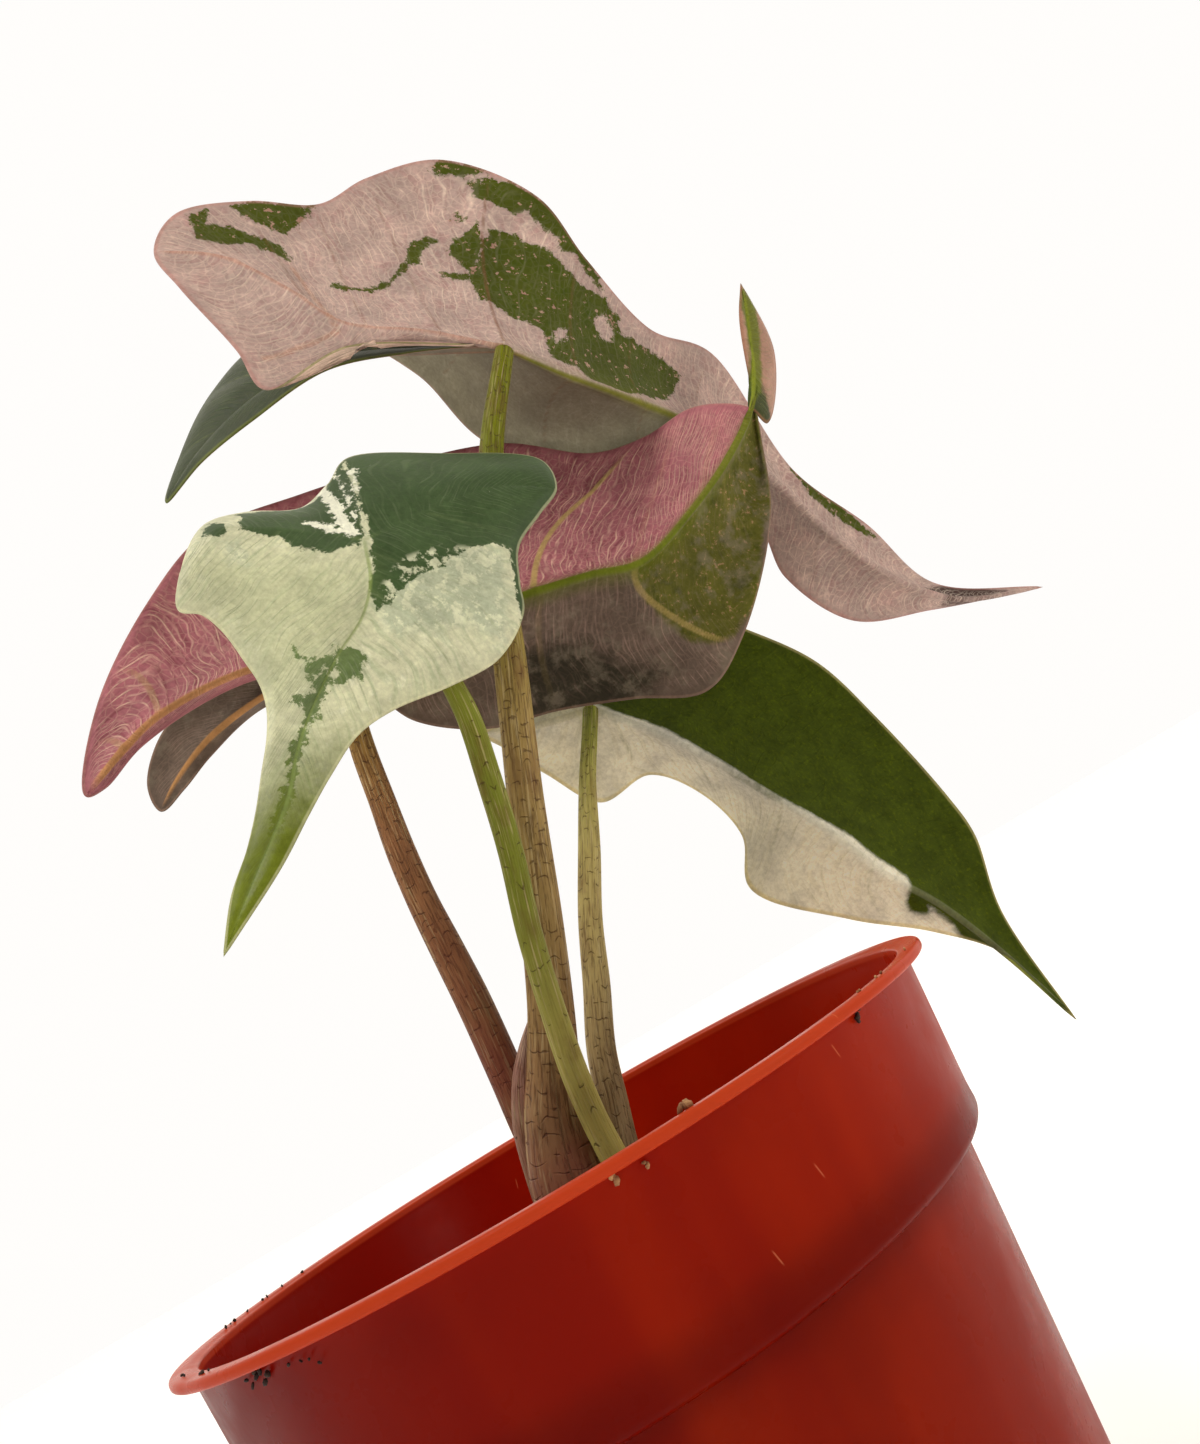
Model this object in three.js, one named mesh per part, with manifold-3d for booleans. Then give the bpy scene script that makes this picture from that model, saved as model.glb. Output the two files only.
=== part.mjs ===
// A young variegated alocasia in a thin plastic nursery pot. Millimetres, +Z up.
// The origin is the middle of the pot's underside and the plant is looked at along +Y.
import * as THREE from 'three';
import { mergeVertices } from 'three/addons/utils/BufferGeometryUtils.js';
import Module from 'manifold-3d';

const wasm = await Module();
wasm.setup();

// Driving sizes.
const GAP = 0.3; // between pieces that rest on each other
const SIDES_ROUND = 60; // facets round the pot and the soil

const POT = {
  height: 100,
  rim: 60, // radius of the lip's outer edge
  lip: 1.4, // thickness of the lip
  lipRound: 0.4,
  collarTop: 57.3,
  collarFoot: 55,
  collarDrop: 22.5, // from the lip's top down to the step
  stepHeight: 2, // of the rounded step between collar and body
  bodyTop: 51.8,
  base: 43,
  wall: 1,
  ring: 1.6, // thickness of the standing ring
  floor: 3, // height of the raised floor's underside
  floorThickness: 1.2,
  pad: 9, // radius of the middle pad, which stands with the ring
  draft: 0.8, // how far the pad and the ring widen towards the floor
};
const DRAIN = { radius: 3.5, circle: 29, count: 8 };
const NOTCH = { width: 9, height: 1.6, count: 4 }; // in the standing ring

const SOIL = { edge: 83, crown: 85.5, lump: 0.7 };
const CORM = { radius: 9.5, top: 87, bottom: 65, x: 0, y: 1 };
const ROOT = { count: 6, thick: 1.3, thin: 0.7, start: 72, drop: 44, near: 4, spread: 27, sway: 4 };

const BLADE = { thickness: 0.8, rib: 1.2, ribAtEnds: 0.2 };

const COLOURS = {
  pot: 0xa83214,
  soil: 0x3a2a20,
  corm: 0x6b5240,
  root: 0xd8cbb0,
  topLeaf: 0xc79f97,
  frontLeaf: 0xa9b98c,
  backLeaf: 0x8a4a5c,
  rightLeaf: 0x5f7f2a,
  topPetiole: 0x9a8460,
  frontPetiole: 0x8da05a,
  backPetiole: 0x7a5848,
  rightPetiole: 0x9c9260,
};

// Solids.
const closed = (geometry) => {
  const bare = geometry.clone();
  bare.deleteAttribute('normal');
  bare.deleteAttribute('uv');
  const merged = mergeVertices(bare, 1e-4);
  const mesh = new wasm.Mesh({
    numProp: 3,
    vertProperties: new Float32Array(merged.attributes.position.array),
    triVerts: new Uint32Array(merged.index.array),
  });
  return new wasm.Manifold(mesh);
};

const geometryOf = (solid) => {
  const { vertProperties, triVerts } = solid.getMesh();
  const geometry = new THREE.BufferGeometry();
  geometry.setAttribute('position', new THREE.BufferAttribute(new Float32Array(vertProperties), 3));
  geometry.setIndex(Array.from(triVerts));
  geometry.computeVertexNormals();
  return geometry;
};

// What is left of a solid after the cuts: its largest piece.
const largest = (solid) => {
  const pieces = solid.decompose();
  pieces.sort((a, b) => b.volume() - a.volume());
  return pieces[0];
};

const carve = (solid, cutters) => largest(cutters.reduce((left, cutter) => left.subtract(cutter), solid));

const lathe = (profile, segments) => {
  const points = profile.map(([r, z]) => new THREE.Vector2(r, z));
  const geometry = new THREE.LatheGeometry(points, segments);
  return geometry.rotateX(Math.PI / 2);
};

const vec = ([x, y, z]) => new THREE.Vector3(x, y, z);

const smooth = (points) => new THREE.CatmullRomCurve3(points, false, 'centripetal');

// A tube that swells and thins along its path, with one radius for each path point.
// across is a direction that the path never runs along.
const taperedTube = (path, radii, across, sides, steps, grow = 0) => {
  const curve = smooth(path.map(vec));
  const thickness = smooth(radii.map((r, i) => new THREE.Vector3(i, r, 0)));
  const positions = [];
  const faces = [];
  for (let i = 0; i <= steps; i++) {
    const centre = curve.getPoint(i / steps);
    const along = curve.getTangent(i / steps);
    const radius = thickness.getPoint(i / steps).y + grow;
    const side = vec(across).addScaledVector(along, -along.dot(vec(across))).normalize();
    const other = along.clone().cross(side);
    if (i === 0) centre.addScaledVector(along, -grow);
    if (i === steps) centre.addScaledVector(along, grow);
    for (let k = 0; k < sides; k++) {
      const turn = (2 * Math.PI * k) / sides;
      const point = centre.clone();
      point.addScaledVector(side, radius * Math.cos(turn));
      point.addScaledVector(other, radius * Math.sin(turn));
      positions.push(...point.toArray());
    }
  }
  const ring = (i, k) => i * sides + (k % sides);
  for (let i = 0; i < steps; i++) {
    for (let k = 0; k < sides; k++) {
      faces.push(ring(i, k), ring(i, k + 1), ring(i + 1, k + 1));
      faces.push(ring(i, k), ring(i + 1, k + 1), ring(i + 1, k));
    }
  }
  for (let k = 1; k < sides - 1; k++) {
    faces.push(ring(0, 0), ring(0, k + 1), ring(0, k));
    faces.push(ring(steps, 0), ring(steps, k), ring(steps, k + 1));
  }
  const geometry = new THREE.BufferGeometry();
  geometry.setAttribute('position', new THREE.BufferAttribute(new Float32Array(positions), 3));
  geometry.setIndex(faces);
  return geometry;
};

// Pot.
// One injection-moulded shell: lip, collar, step, tapered body, standing ring and
// a raised floor with drain holes round a middle pad.
const buildPot = () => {
  const { height, rim, lipRound, collarTop, collarFoot, stepHeight, bodyTop, base, wall, ring } = POT;
  const { floor, pad, draft } = POT;
  const step = height - POT.collarDrop;
  const lipFoot = height - POT.lip;
  const floorTop = floor + POT.floorThickness;
  const profile = [
    [0, 0],
    [pad, 0],
    [pad + draft, floor],
    [base - ring - draft, floor],
    [base - ring, 0],
    [base, 0],
    [bodyTop, step - stepHeight],
    [collarFoot - 1.3, step - 0.8 * stepHeight],
    [collarFoot - 0.2, step],
    [collarFoot + 0.1, step + 0.75 * stepHeight],
    [collarTop, lipFoot],
    [rim - lipRound, lipFoot],
    [rim, lipFoot + lipRound],
    [rim, height - lipRound],
    [rim - lipRound, height],
    [collarTop - wall + lipRound, height],
    [collarTop - wall - 0.1, height - 2 * lipRound],
    [collarFoot - wall + 0.1, step + stepHeight],
    [collarFoot - wall - 0.8, step + 0.2 * stepHeight],
    [bodyTop - wall + 0.2, step - 0.3 * stepHeight],
    [bodyTop - wall, step - 1.2 * stepHeight],
    [base - wall + 0.5, floorTop + 1],
    [base - wall - 0.6, floorTop],
    [0, floorTop],
  ];
  let pot = closed(lathe(profile, SIDES_ROUND));
  const plug = new THREE.CylinderGeometry(DRAIN.radius, DRAIN.radius, 2 * floor, 16).rotateX(Math.PI / 2);
  for (let i = 0; i < DRAIN.count; i++) {
    const turn = (2 * Math.PI * (i + 0.5)) / DRAIN.count;
    const at = [DRAIN.circle * Math.cos(turn), DRAIN.circle * Math.sin(turn), floor + 0.6];
    pot = pot.subtract(closed(plug.clone().translate(...at)));
  }
  for (let i = 0; i < NOTCH.count; i++) {
    const slot = new THREE.BoxGeometry(4 * ring, NOTCH.width, 2 * NOTCH.height).translate(base - ring, 0, 0);
    pot = pot.subtract(closed(slot.rotateZ((2 * Math.PI * (i + 0.5)) / NOTCH.count)));
  }
  return largest(pot);
};

// Corm and roots.
// The corm is the swollen stem base that the leaves and the roots grow from.
const buildCorm = (grow = 0) => {
  const height = CORM.top - CORM.bottom;
  const rings = 8;
  const profile = [];
  for (let i = 0; i <= rings; i++) {
    const share = i / rings;
    const swell = Math.sin(Math.PI * share) ** 0.6 * (0.82 + 0.3 * (1 - Math.abs(share - 0.45)));
    const z = CORM.bottom + height * share + grow * (2 * share - 1);
    profile.push([i === 0 || i === rings ? 0 : CORM.radius * swell + grow, z]);
  }
  return closed(lathe(profile, 16).translate(CORM.x, CORM.y, 0));
};

const buildRoot = (index, grow = 0) => {
  const turn = (2 * Math.PI * (index + 0.3)) / ROOT.count;
  const out = [Math.cos(turn), Math.sin(turn)];
  const side = [-out[1], out[0]];
  const bend = index % 2 ? 1 : -1;
  const depth = ROOT.drop + 3 * (index % 3);
  const path = [0, 0.25, 0.5, 0.75, 1].map((share) => {
    const reach = ROOT.near + ROOT.spread * share;
    const sway = bend * ROOT.sway * Math.sin(Math.PI * 1.5 * share);
    return [
      CORM.x + reach * out[0] + sway * side[0],
      CORM.y + reach * out[1] + sway * side[1],
      ROOT.start - depth * share ** 1.3,
    ];
  });
  const radii = [ROOT.thick, ROOT.thick, ROOT.thick, ROOT.thick, ROOT.thin];
  return closed(taperedTube(path, radii, [0, 0, 1], 6, 8, grow));
};

// Soil.
const buildSoil = () => {
  const { collarFoot, collarTop, bodyTop, base, wall, stepHeight } = POT;
  const step = POT.height - POT.collarDrop;
  const slack = wall + GAP + 0.1;
  const floorTop = POT.floor + POT.floorThickness + GAP;
  const flare = (collarTop - collarFoot) / POT.collarDrop;
  const profile = [
    [0, floorTop],
    [base - slack - 0.6, floorTop],
    [base - slack + 0.3, floorTop + 1],
    [bodyTop - slack, step - 1.1 * stepHeight],
    [bodyTop - slack + 0.2, step - 0.1 * stepHeight],
    [collarFoot - slack - 0.8, step + 0.4 * stepHeight],
    [collarFoot - slack, step + 1.1 * stepHeight],
    [collarFoot - slack + flare * (SOIL.edge - step - stepHeight), SOIL.edge],
    [46, SOIL.edge + 0.6],
    [34, SOIL.edge + 1.2],
    [22, SOIL.crown - 0.6],
    [12, SOIL.crown],
    [0, SOIL.crown],
  ];
  const geometry = lathe(profile, SIDES_ROUND);
  const position = geometry.attributes.position;
  for (let i = 0; i < position.count; i++) {
    const [x, y, z] = [position.getX(i), position.getY(i), position.getZ(i)];
    const r = Math.hypot(x, y);
    if (z > SOIL.edge + 0.3 && r < 50 && r > 1) {
      position.setZ(i, z + SOIL.lump * Math.sin(0.31 * x + 1) * Math.cos(0.27 * y + 0.08 * x));
    }
  }
  return closed(geometry);
};

// Leaf blades.
// Each blade is an arrow-shaped sheet. Its costa runs from the tip of a back lobe to
// the petiole, and its midrib from the petiole to the drip tip. Every point of that
// spine has a partner on the outer margin, and each costa point one on the inner margin.
// left and right are as seen from above the blade with its drip tip ahead.
// bow is how far the sheet swells upwards, as a share of its width at that place.
const TOP_LEAF = {
  bow: 0.07,
  midrib: [[54, -5, 223], [61.5, -2, 216], [73, 6, 210.5], [88, 18, 203.5], [99.5, 27, 191],
    [108.5, 34, 174], [119, 40, 160], [131, 45, 152], [153, 50, 146.5]],
  sinus: [53, -5, 224.5],
  right: {
    costa: [[6, -12, 263], [16, -11, 257.5], [23.5, -10, 247.5], [29.5, -9, 237.5], [42, -7, 231]],
    outer: [[13.5, -8, 273], [26.5, -4, 273.5], [38.5, 0, 271], [50, 2, 274.5], [66, 4, 274],
      [79.5, 5, 258.5], [82.5, 8, 243], [90, 17, 228.5], [104.5, 28, 223], [110, 37, 194],
      [121, 43, 176.5], [128.5, 47, 159]],
    inner: [[7, -14, 252.5], [10.5, -15, 236], [11.5, -14, 228], [28.5, -9, 233]],
  },
  left: {
    costa: [[-12.5, 14, 233.5], [-1.5, 15, 242], [14.5, 13, 247], [30, 9, 244], [43.5, 3, 234]],
    outer: [[-7.5, 21, 245.5], [4, 28, 261.5], [19, 33, 272], [35.5, 36, 269], [46.5, 36, 252.5],
      [51, 35, 232], [62, 35, 214.5], [78, 38, 197.5], [97.5, 41, 188.5], [97.5, 43, 174.5],
      [106, 45, 159.5], [125.5, 48, 153.5]],
    inner: [[-3.5, 11, 236.5], [8.5, 8, 238.5], [24.5, 4, 239.5], [39.5, -1, 232.5]],
  },
};

const FRONT_LEAF = {
  bow: 0.035,
  midrib: [[13, -27, 188.5], [11, -28, 182], [7.5, -29, 177], [2, -31, 172.5], [-3.5, -33, 167],
    [-8, -35, 161.5], [-12, -37, 155], [-19, -39, 147.5], [-26, -41, 140]],
  sinus: [13, -21, 203],
  right: {
    costa: [[-12, -30, 194.5], [-5.5, -29, 198.5], [0.5, -28, 196.5], [7, -27, 193]],
    outer: [[-14.5, -31, 188.5], [-12, -31, 186.5], [-10.5, -31, 183], [-9.5, -32, 177],
      [-9, -33, 172.5], [-9.5, -34, 168.5], [-11, -35, 164.5], [-13.5, -36, 160], [-16, -37, 155.5],
      [-19, -38, 151], [-22.5, -39.5, 146.5]],
    inner: [[-6.5, -26, 202], [-0.5, -23, 203], [7.5, -21, 201]],
  },
  left: {
    costa: [[45, -18, 187.5], [36, -20, 191], [25, -23, 190.5], [18.5, -25, 189.5]],
    outer: [[40.5, -19, 184.5], [34.5, -20, 180.5], [31.5, -21, 174.5], [29.5, -22, 169.5],
      [22.5, -24, 164], [14, -27, 162.5], [5.5, -30, 162], [-0.5, -33, 160], [-6, -35, 156],
      [-10.5, -37, 152], [-16, -39, 147]],
    inner: [[46, -15, 195], [32.5, -15, 203], [18, -18, 207.5]],
  },
};

const BACK_LEAF = {
  bow: 0.06,
  midrib: [[3, 4, 187], [18.5, 1, 183], [34.5, 0, 180.5], [47.5, 0, 178.5], [56.5, 0, 176.5],
    [70, 1, 181.5], [81, 2, 187.5], [92, 4, 196], [98, 6, 203.5], [104, 9, 214.5], [110.5, 12, 226.5]],
  sinus: [-0.5, 6, 188],
  right: {
    costa: [[-41.5, -6, 179.5], [-34, -4, 184.5], [-27.5, -1, 188.5], [-13, 2, 190.5]],
    outer: [[-35.5, 0, 195.5], [-22.5, 5, 211], [-8, 14, 224.5], [10.5, 22, 228.5], [29.5, 26, 228.5],
      [52.5, 26, 223], [66.5, 21, 210], [75, 13, 204.5], [83, 6, 202.5], [88.5, 4, 199.5],
      [93, 5, 197], [96.5, 9, 194.5], [108, 12, 209.5]],
    inner: [[-39, -3, 180.5], [-32, 0, 185.5], [-16.5, 6, 190.5]],
  },
  left: {
    costa: [[-36.5, 16, 179.5], [-31, 15, 183.5], [-23, 13, 187], [-11, 9, 188]],
    outer: [[-31.5, 15, 181], [-25, 15, 184.5], [-13, 14, 188], [2.5, 12, 184.5], [9.5, 12, 172.5],
      [20.5, 13, 165.5], [33, 14, 163], [46, 12, 158], [57, 7, 152], [67.5, 6, 157.5], [85, 6, 176],
      [92.5, 6, 192], [103, 8, 216]],
    inner: [[-37, 17, 185.5], [-30.5, 16, 193], [-19, 12, 194.5]],
  },
};

const RIGHT_LEAF = {
  bow: 0.05,
  midrib: [[41, 26, 163.5], [47.5, 25, 155.5], [55, 25, 145.5], [62.5, 26, 133.5], [70, 27, 120.5],
    [75.5, 29, 109], [82.5, 31, 98.5], [89.5, 34, 84], [96, 37, 67]],
  sinus: [39.5, 27, 166],
  right: {
    costa: [[34.5, 42, 190], [37.5, 37, 182], [39.5, 31, 172.5]],
    outer: [[42.5, 46, 194], [54.5, 48, 193], [67.5, 48, 185.5], [77, 48, 178], [84.5, 47, 169],
      [94.5, 47, 155], [99, 46, 137.5], [102, 44, 115.5], [101.5, 42, 106.5], [95.5, 38, 91]],
    inner: [[33, 40, 184.5], [35.5, 34, 174]],
  },
  left: {
    costa: [[20.5, 30, 170], [26.5, 29, 167.5], [33, 27, 165]],
    outer: [[23.5, 32, 165.5], [28.5, 34, 157.5], [35.5, 36, 148], [47, 37, 148.5], [54.5, 38, 140.5],
      [57.5, 38, 129], [53.5, 38, 119], [67.5, 37, 104.5], [80.5, 36, 94.5], [91, 36, 83.5]],
    inner: [[26.5, 29, 169.5], [34.5, 28, 168]],
  },
};

// The sheet between spine and margins, as merged points and triangles that face up.
const bladeSheet = (leaf, cut = 2) => {
  const points = [];
  const fromJunction = []; // share of the way to the nearest end of the spine
  const found = new Map();
  const faces = [];
  const add = (point, onSpine) => {
    const key = point.toArray().map((n) => Math.round(n * 1e4)).join();
    if (!found.has(key)) {
      found.set(key, points.length);
      points.push(point);
      fromJunction.push(0);
    }
    const index = found.get(key);
    fromJunction[index] = Math.max(fromJunction[index], onSpine);
    return index;
  };
  const quad = (a, b, c, d) => {
    if (a !== b && b !== c && a !== c) faces.push([a, b, c]);
    if (a !== c && c !== d && a !== d) faces.push([a, c, d]);
  };
  const midrib = smooth(leaf.midrib.map(vec));
  const toTip = leaf.midrib.length - 1;
  for (const [side, upward] of [[leaf.left, true], [leaf.right, false]]) {
    const back = side.costa.length;
    const costa = smooth([...side.costa, leaf.midrib[0]].map(vec));
    const outer = smooth([side.costa[0], ...side.outer, leaf.midrib[toTip]].map(vec));
    const inner = smooth([side.costa[0], ...side.inner, leaf.sinus].map(vec));
    const spine = (u) => (u <= back ? costa.getPoint(u / back) : midrib.getPoint((u - back) / toTip));
    const strip = (edge, last, columns, flip) => {
      const rows = [];
      for (let i = 0; i <= last * cut; i++) {
        const u = i / cut;
        const root = spine(u);
        const margin = edge.getPoint(u / last);
        const ahead = spine(Math.min(u + 0.05, last)).sub(spine(Math.max(u - 0.05, 0)));
        const across = margin.clone().sub(root);
        const up = ahead.cross(across).normalize().multiplyScalar(flip ? -1 : 1);
        const ends = u < back ? u / back : 1 - (u - back) / toTip;
        const flat = last === back && u === last;
        rows.push(columns.map((v) => {
          const lift = flat ? 0 : 4 * v * (1 - v) * leaf.bow * across.length();
          const point = root.clone().addScaledVector(across, v).addScaledVector(up, lift);
          return add(point, v === 0 ? Math.max(ends, 0.05) : 0);
        }));
      }
      for (let i = 0; i + 1 < rows.length; i++) {
        for (let k = 0; k + 1 < columns.length; k++) {
          const corners = [rows[i][k], rows[i + 1][k], rows[i + 1][k + 1], rows[i][k + 1]];
          quad(...(flip ? corners.reverse() : corners));
        }
      }
    };
    strip(outer, back + toTip, [0, 0.1, 0.4, 0.7, 1], !upward);
    strip(inner, back, [0, 0.5, 1], upward);
  }
  return { points, faces, fromJunction };
};

// The closed solid of a sheet: flat above, with a raised rib along the spine below.
const thicken = ({ points, faces, fromJunction }, grow = 0) => {
  const normals = points.map(() => new THREE.Vector3());
  for (const [a, b, c] of faces) {
    const n = points[b].clone().sub(points[a]).cross(points[c].clone().sub(points[a]));
    for (const corner of [a, b, c]) normals[corner].add(n);
  }
  normals.forEach((n) => n.normalize());
  const half = BLADE.thickness / 2 + grow;
  const above = points.map((p, i) => p.clone().addScaledVector(normals[i], half));
  const below = points.map((p, i) => {
    const rib = fromJunction[i] > 0 ? BLADE.ribAtEnds + (BLADE.rib - BLADE.ribAtEnds) * fromJunction[i] : 0;
    return p.clone().addScaledVector(normals[i], -half - rib);
  });
  const count = points.length;
  const index = [];
  const edges = new Map();
  for (const [a, b, c] of faces) {
    index.push(a, b, c, a + count, c + count, b + count);
    for (const [from, to] of [[a, b], [b, c], [c, a]]) edges.set(`${from},${to}`, [from, to]);
  }
  for (const [from, to] of edges.values()) {
    if (!edges.has(`${to},${from}`)) index.push(from, to + count, to, from, from + count, to + count);
  }
  const geometry = new THREE.BufferGeometry();
  const flatList = [...above, ...below].flatMap((p) => p.toArray());
  geometry.setAttribute('position', new THREE.BufferAttribute(new Float32Array(flatList), 3));
  geometry.setIndex(index);
  return closed(geometry);
};

// Petioles.
// Each leaf stalk swells into a sheath at its foot. The top leaf's sheath is the
// widest, with a flare at its free edge that wraps the back leaf's stalk.
const PETIOLES = {
  top: {
    path: [[-3.5, 1, 85.5], [-2.5, 1, 91.5], [-1.5, 1, 96.5], [0.5, 0, 103.5], [3, -1, 109.5],
      [6.5, -2.5, 117], [11.5, -4.5, 129.5], [18, -6.5, 147], [27, -8, 170], [33, -9, 186.5],
      [41.5, -8, 204], [53, -5, 221.5]],
    radii: [6.8, 6.6, 6.3, 5.2, 4.1, 3.6, 3.3, 2.9, 2.7, 2.5, 2.3, 2.1],
  },
  flare: {
    path: [[2.5, 0, 116], [-1, 1, 112], [-4, 1.5, 106.5], [-5.5, 2, 97.5], [-6.5, 2, 91]],
    radii: [0.2, 1.4, 2.0, 2.6, 2.8],
  },
  front: {
    path: [[4, -1, 84.5], [4.5, -4, 92], [4.5, -6.5, 100], [5, -9, 107.5], [6.5, -11, 117.5],
      [8.5, -13, 128], [11.5, -15, 139.5], [13.5, -17, 150], [15, -19, 159.5], [15, -21, 166],
      [15, -23, 174.5], [14, -25, 182], [13.5, -26.5, 187]],
    radii: [2.2, 2.1, 2.0, 2.0, 1.9, 1.9, 1.9, 1.9, 1.8, 1.6, 1.6, 1.5, 1.4],
  },
  back: {
    path: [[-4.5, 3, 94.5], [-4.5, 3.5, 103], [-4, 4, 112], [-3.5, 4, 124.5], [-3.5, 4, 133],
      [-3.5, 4, 142], [-3, 4, 151], [-2, 3.5, 160], [-1, 3, 169], [0.5, 2.5, 177], [1.5, 2.5, 182],
      [2.6, 3.7, 186.3]],
    radii: [2.9, 2.8, 2.8, 2.8, 2.7, 2.5, 2.4, 2.2, 2.1, 1.9, 1.9, 1.8],
  },
  right: {
    path: [[5, 3, 86], [6.5, 5, 93], [8.5, 7, 99.5], [11, 9, 107.5], [15.5, 11, 117], [20, 13.5, 127],
      [26, 16, 138], [32.5, 20, 150], [37, 22.5, 157], [40.5, 25.5, 162.8]],
    radii: [2.7, 2.6, 2.5, 2.4, 2.3, 2.1, 2.0, 1.6, 1.5, 1.5],
  },
};

// The room that a blade needs round it, so that its stalk ends just short of it.
const roomFor = (sheet) => {
  const blade = thicken(sheet);
  const shifts = [[GAP, 0, 0], [-GAP, 0, 0], [0, GAP, 0], [0, -GAP, 0], [0, 0, GAP], [0, 0, -GAP]];
  return [thicken(sheet, GAP), ...shifts.map((shift) => blade.translate(shift))];
};

const tubeOf = ({ path, radii }, grow) => {
  const steps = 2 * (path.length - 1);
  return closed(taperedTube(path, radii, [1, 0, 0], 12, steps, grow));
};

const stalk = (name, grow = 0) => {
  const tube = tubeOf(PETIOLES[name], grow);
  return name === 'top' ? tube.add(tubeOf(PETIOLES.flare, grow)) : tube;
};

// Assembly.
const plant = new THREE.Group();

const put = (name, solid, colour, roughness = 0.6) => {
  const material = new THREE.MeshStandardMaterial({ color: colour, roughness, metalness: 0 });
  const mesh = new THREE.Mesh(geometryOf(solid), material);
  mesh.name = name;
  plant.add(mesh);
};

const LEAVES = { top: TOP_LEAF, front: FRONT_LEAF, back: BACK_LEAF, right: RIGHT_LEAF };
const ORDER = ['top', 'front', 'back', 'right']; // a later stalk is cut round the earlier ones

for (const [i, name] of ORDER.entries()) {
  const sheet = bladeSheet(LEAVES[name]);
  put(`${name}_blade`, thicken(sheet), COLOURS[`${name}Leaf`], 0.45);
  const cutters = [...roomFor(sheet), buildCorm(GAP)];
  for (const earlier of ORDER.slice(0, i)) cutters.push(stalk(earlier, GAP));
  put(`${name}_petiole`, carve(stalk(name), cutters), COLOURS[`${name}Petiole`]);
}

const roots = Array.from({ length: ROOT.count }, (_, i) => buildRoot(i));
const fatRoots = Array.from({ length: ROOT.count }, (_, i) => buildRoot(i, GAP));
const looseRoots = roots.map((root) => carve(root, [buildCorm(GAP)]));

put('pot', buildPot(), COLOURS.pot, 0.35);
put('corm', buildCorm(), COLOURS.corm, 0.8);
looseRoots.forEach((root, i) => put(`root_${i + 1}`, root, COLOURS.root, 0.7));
put('soil', carve(buildSoil(), [buildCorm(GAP), ...fatRoots, ...ORDER.map((name) => stalk(name, GAP))]),
  COLOURS.soil, 0.95);

export default plant;
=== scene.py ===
import math

import bmesh
import bpy
import numpy as np
from mathutils import Euler, Matrix, Vector, noise


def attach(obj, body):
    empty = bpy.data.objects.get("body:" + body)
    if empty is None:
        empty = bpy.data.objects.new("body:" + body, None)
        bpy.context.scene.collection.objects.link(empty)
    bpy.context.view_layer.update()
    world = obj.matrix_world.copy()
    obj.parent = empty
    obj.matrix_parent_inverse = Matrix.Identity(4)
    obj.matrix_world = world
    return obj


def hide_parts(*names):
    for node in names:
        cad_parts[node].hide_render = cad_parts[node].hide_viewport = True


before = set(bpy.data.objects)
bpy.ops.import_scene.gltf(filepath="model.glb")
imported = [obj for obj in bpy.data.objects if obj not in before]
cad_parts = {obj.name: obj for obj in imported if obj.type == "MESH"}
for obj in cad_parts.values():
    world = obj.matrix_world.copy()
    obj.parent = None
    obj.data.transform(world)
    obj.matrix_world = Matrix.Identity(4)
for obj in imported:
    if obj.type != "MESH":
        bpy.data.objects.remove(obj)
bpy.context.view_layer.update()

# Camera. The plant stands upright and the camera is rolled about thirty degrees instead, so
# that the pot leans in the picture. It stands a little above the rim and looks slightly up.
MM = 0.001
EYE = Vector((0, -174.7, 112.8)) * MM
VIEW_RIGHT = Vector((0.8727, -0.0650, -0.4839))
VIEW_UP = Vector((0.4471, -0.2919, 0.8455))
VIEW_AHEAD = VIEW_UP.cross(VIEW_RIGHT)
LENS = 27.09
SENSOR = 36
NEAREST_SEEN = 0.01

scene = bpy.context.scene
camera_data = bpy.data.cameras.new("camera")
camera_data.lens = LENS
camera_data.sensor_width = SENSOR
camera_data.clip_start = NEAREST_SEEN
camera = bpy.data.objects.new("camera", camera_data)
camera.matrix_world = Matrix.LocRotScale(
    EYE, Matrix((VIEW_RIGHT, VIEW_UP, -VIEW_AHEAD)).transposed(), None)
scene.collection.objects.link(camera)
scene.camera = camera

# Studio. A white sweep all round. Light comes mostly from the white wall behind the plant, so
# that thin leaves glow, and less from the room in front of it and from two soft boxes.
WALL_LIGHT = 1.55
ROOM_LIGHT = 0.36
WARM_LIGHT = (1.0, 0.94, 0.85, 1)
WARM_WHITE = (1.0, 0.985, 0.965, 1)
PAPER_WHITE = (0.93, 0.92, 0.91, 1)
FLOOR_SIZE = 6.0
FLOOR_GLOW = 0.22
SOFT_BOX_TINT = (1.0, 0.95, 0.88)
SOFT_BOXES = {
    "soft_box_above": {"place": (-0.3, -0.35, 0.95), "target": (0, 0, 0.15), "size": 0.5, "power": 6.5},
    "soft_box_side": {"place": (0.8, -0.5, 0.3), "target": (0, 0, 0.1), "size": 0.3, "power": 1.6},
}

scene.view_settings.view_transform = "Standard"
scene.view_settings.look = "None"


def add_node(tree, kind, inputs=None, **settings):
    """One node with its settings and inputs, each input a plain value or another node's socket."""
    node = tree.nodes.new(kind)
    for name, value in settings.items():
        setattr(node, name, value)
    for key, value in (inputs or {}).items():
        if isinstance(value, bpy.types.NodeSocket):
            tree.links.new(value, node.inputs[key])
        else:
            node.inputs[key].default_value = value
    return node.outputs


def srgb(*seen):
    """A colour as it looks on screen, from 0 to 255, as the linear colour that shaders take."""
    linear = [((c / 255 + 0.055) / 1.055) ** 2.4 if c > 10 else c / 3294.6 for c in seen]
    return (*linear, 1.0)


def maths(tree, operation, a, b=0.0, c=0.0):
    return add_node(tree, "ShaderNodeMath", {0: a, 1: b, 2: c}, operation=operation)[0]


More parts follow.
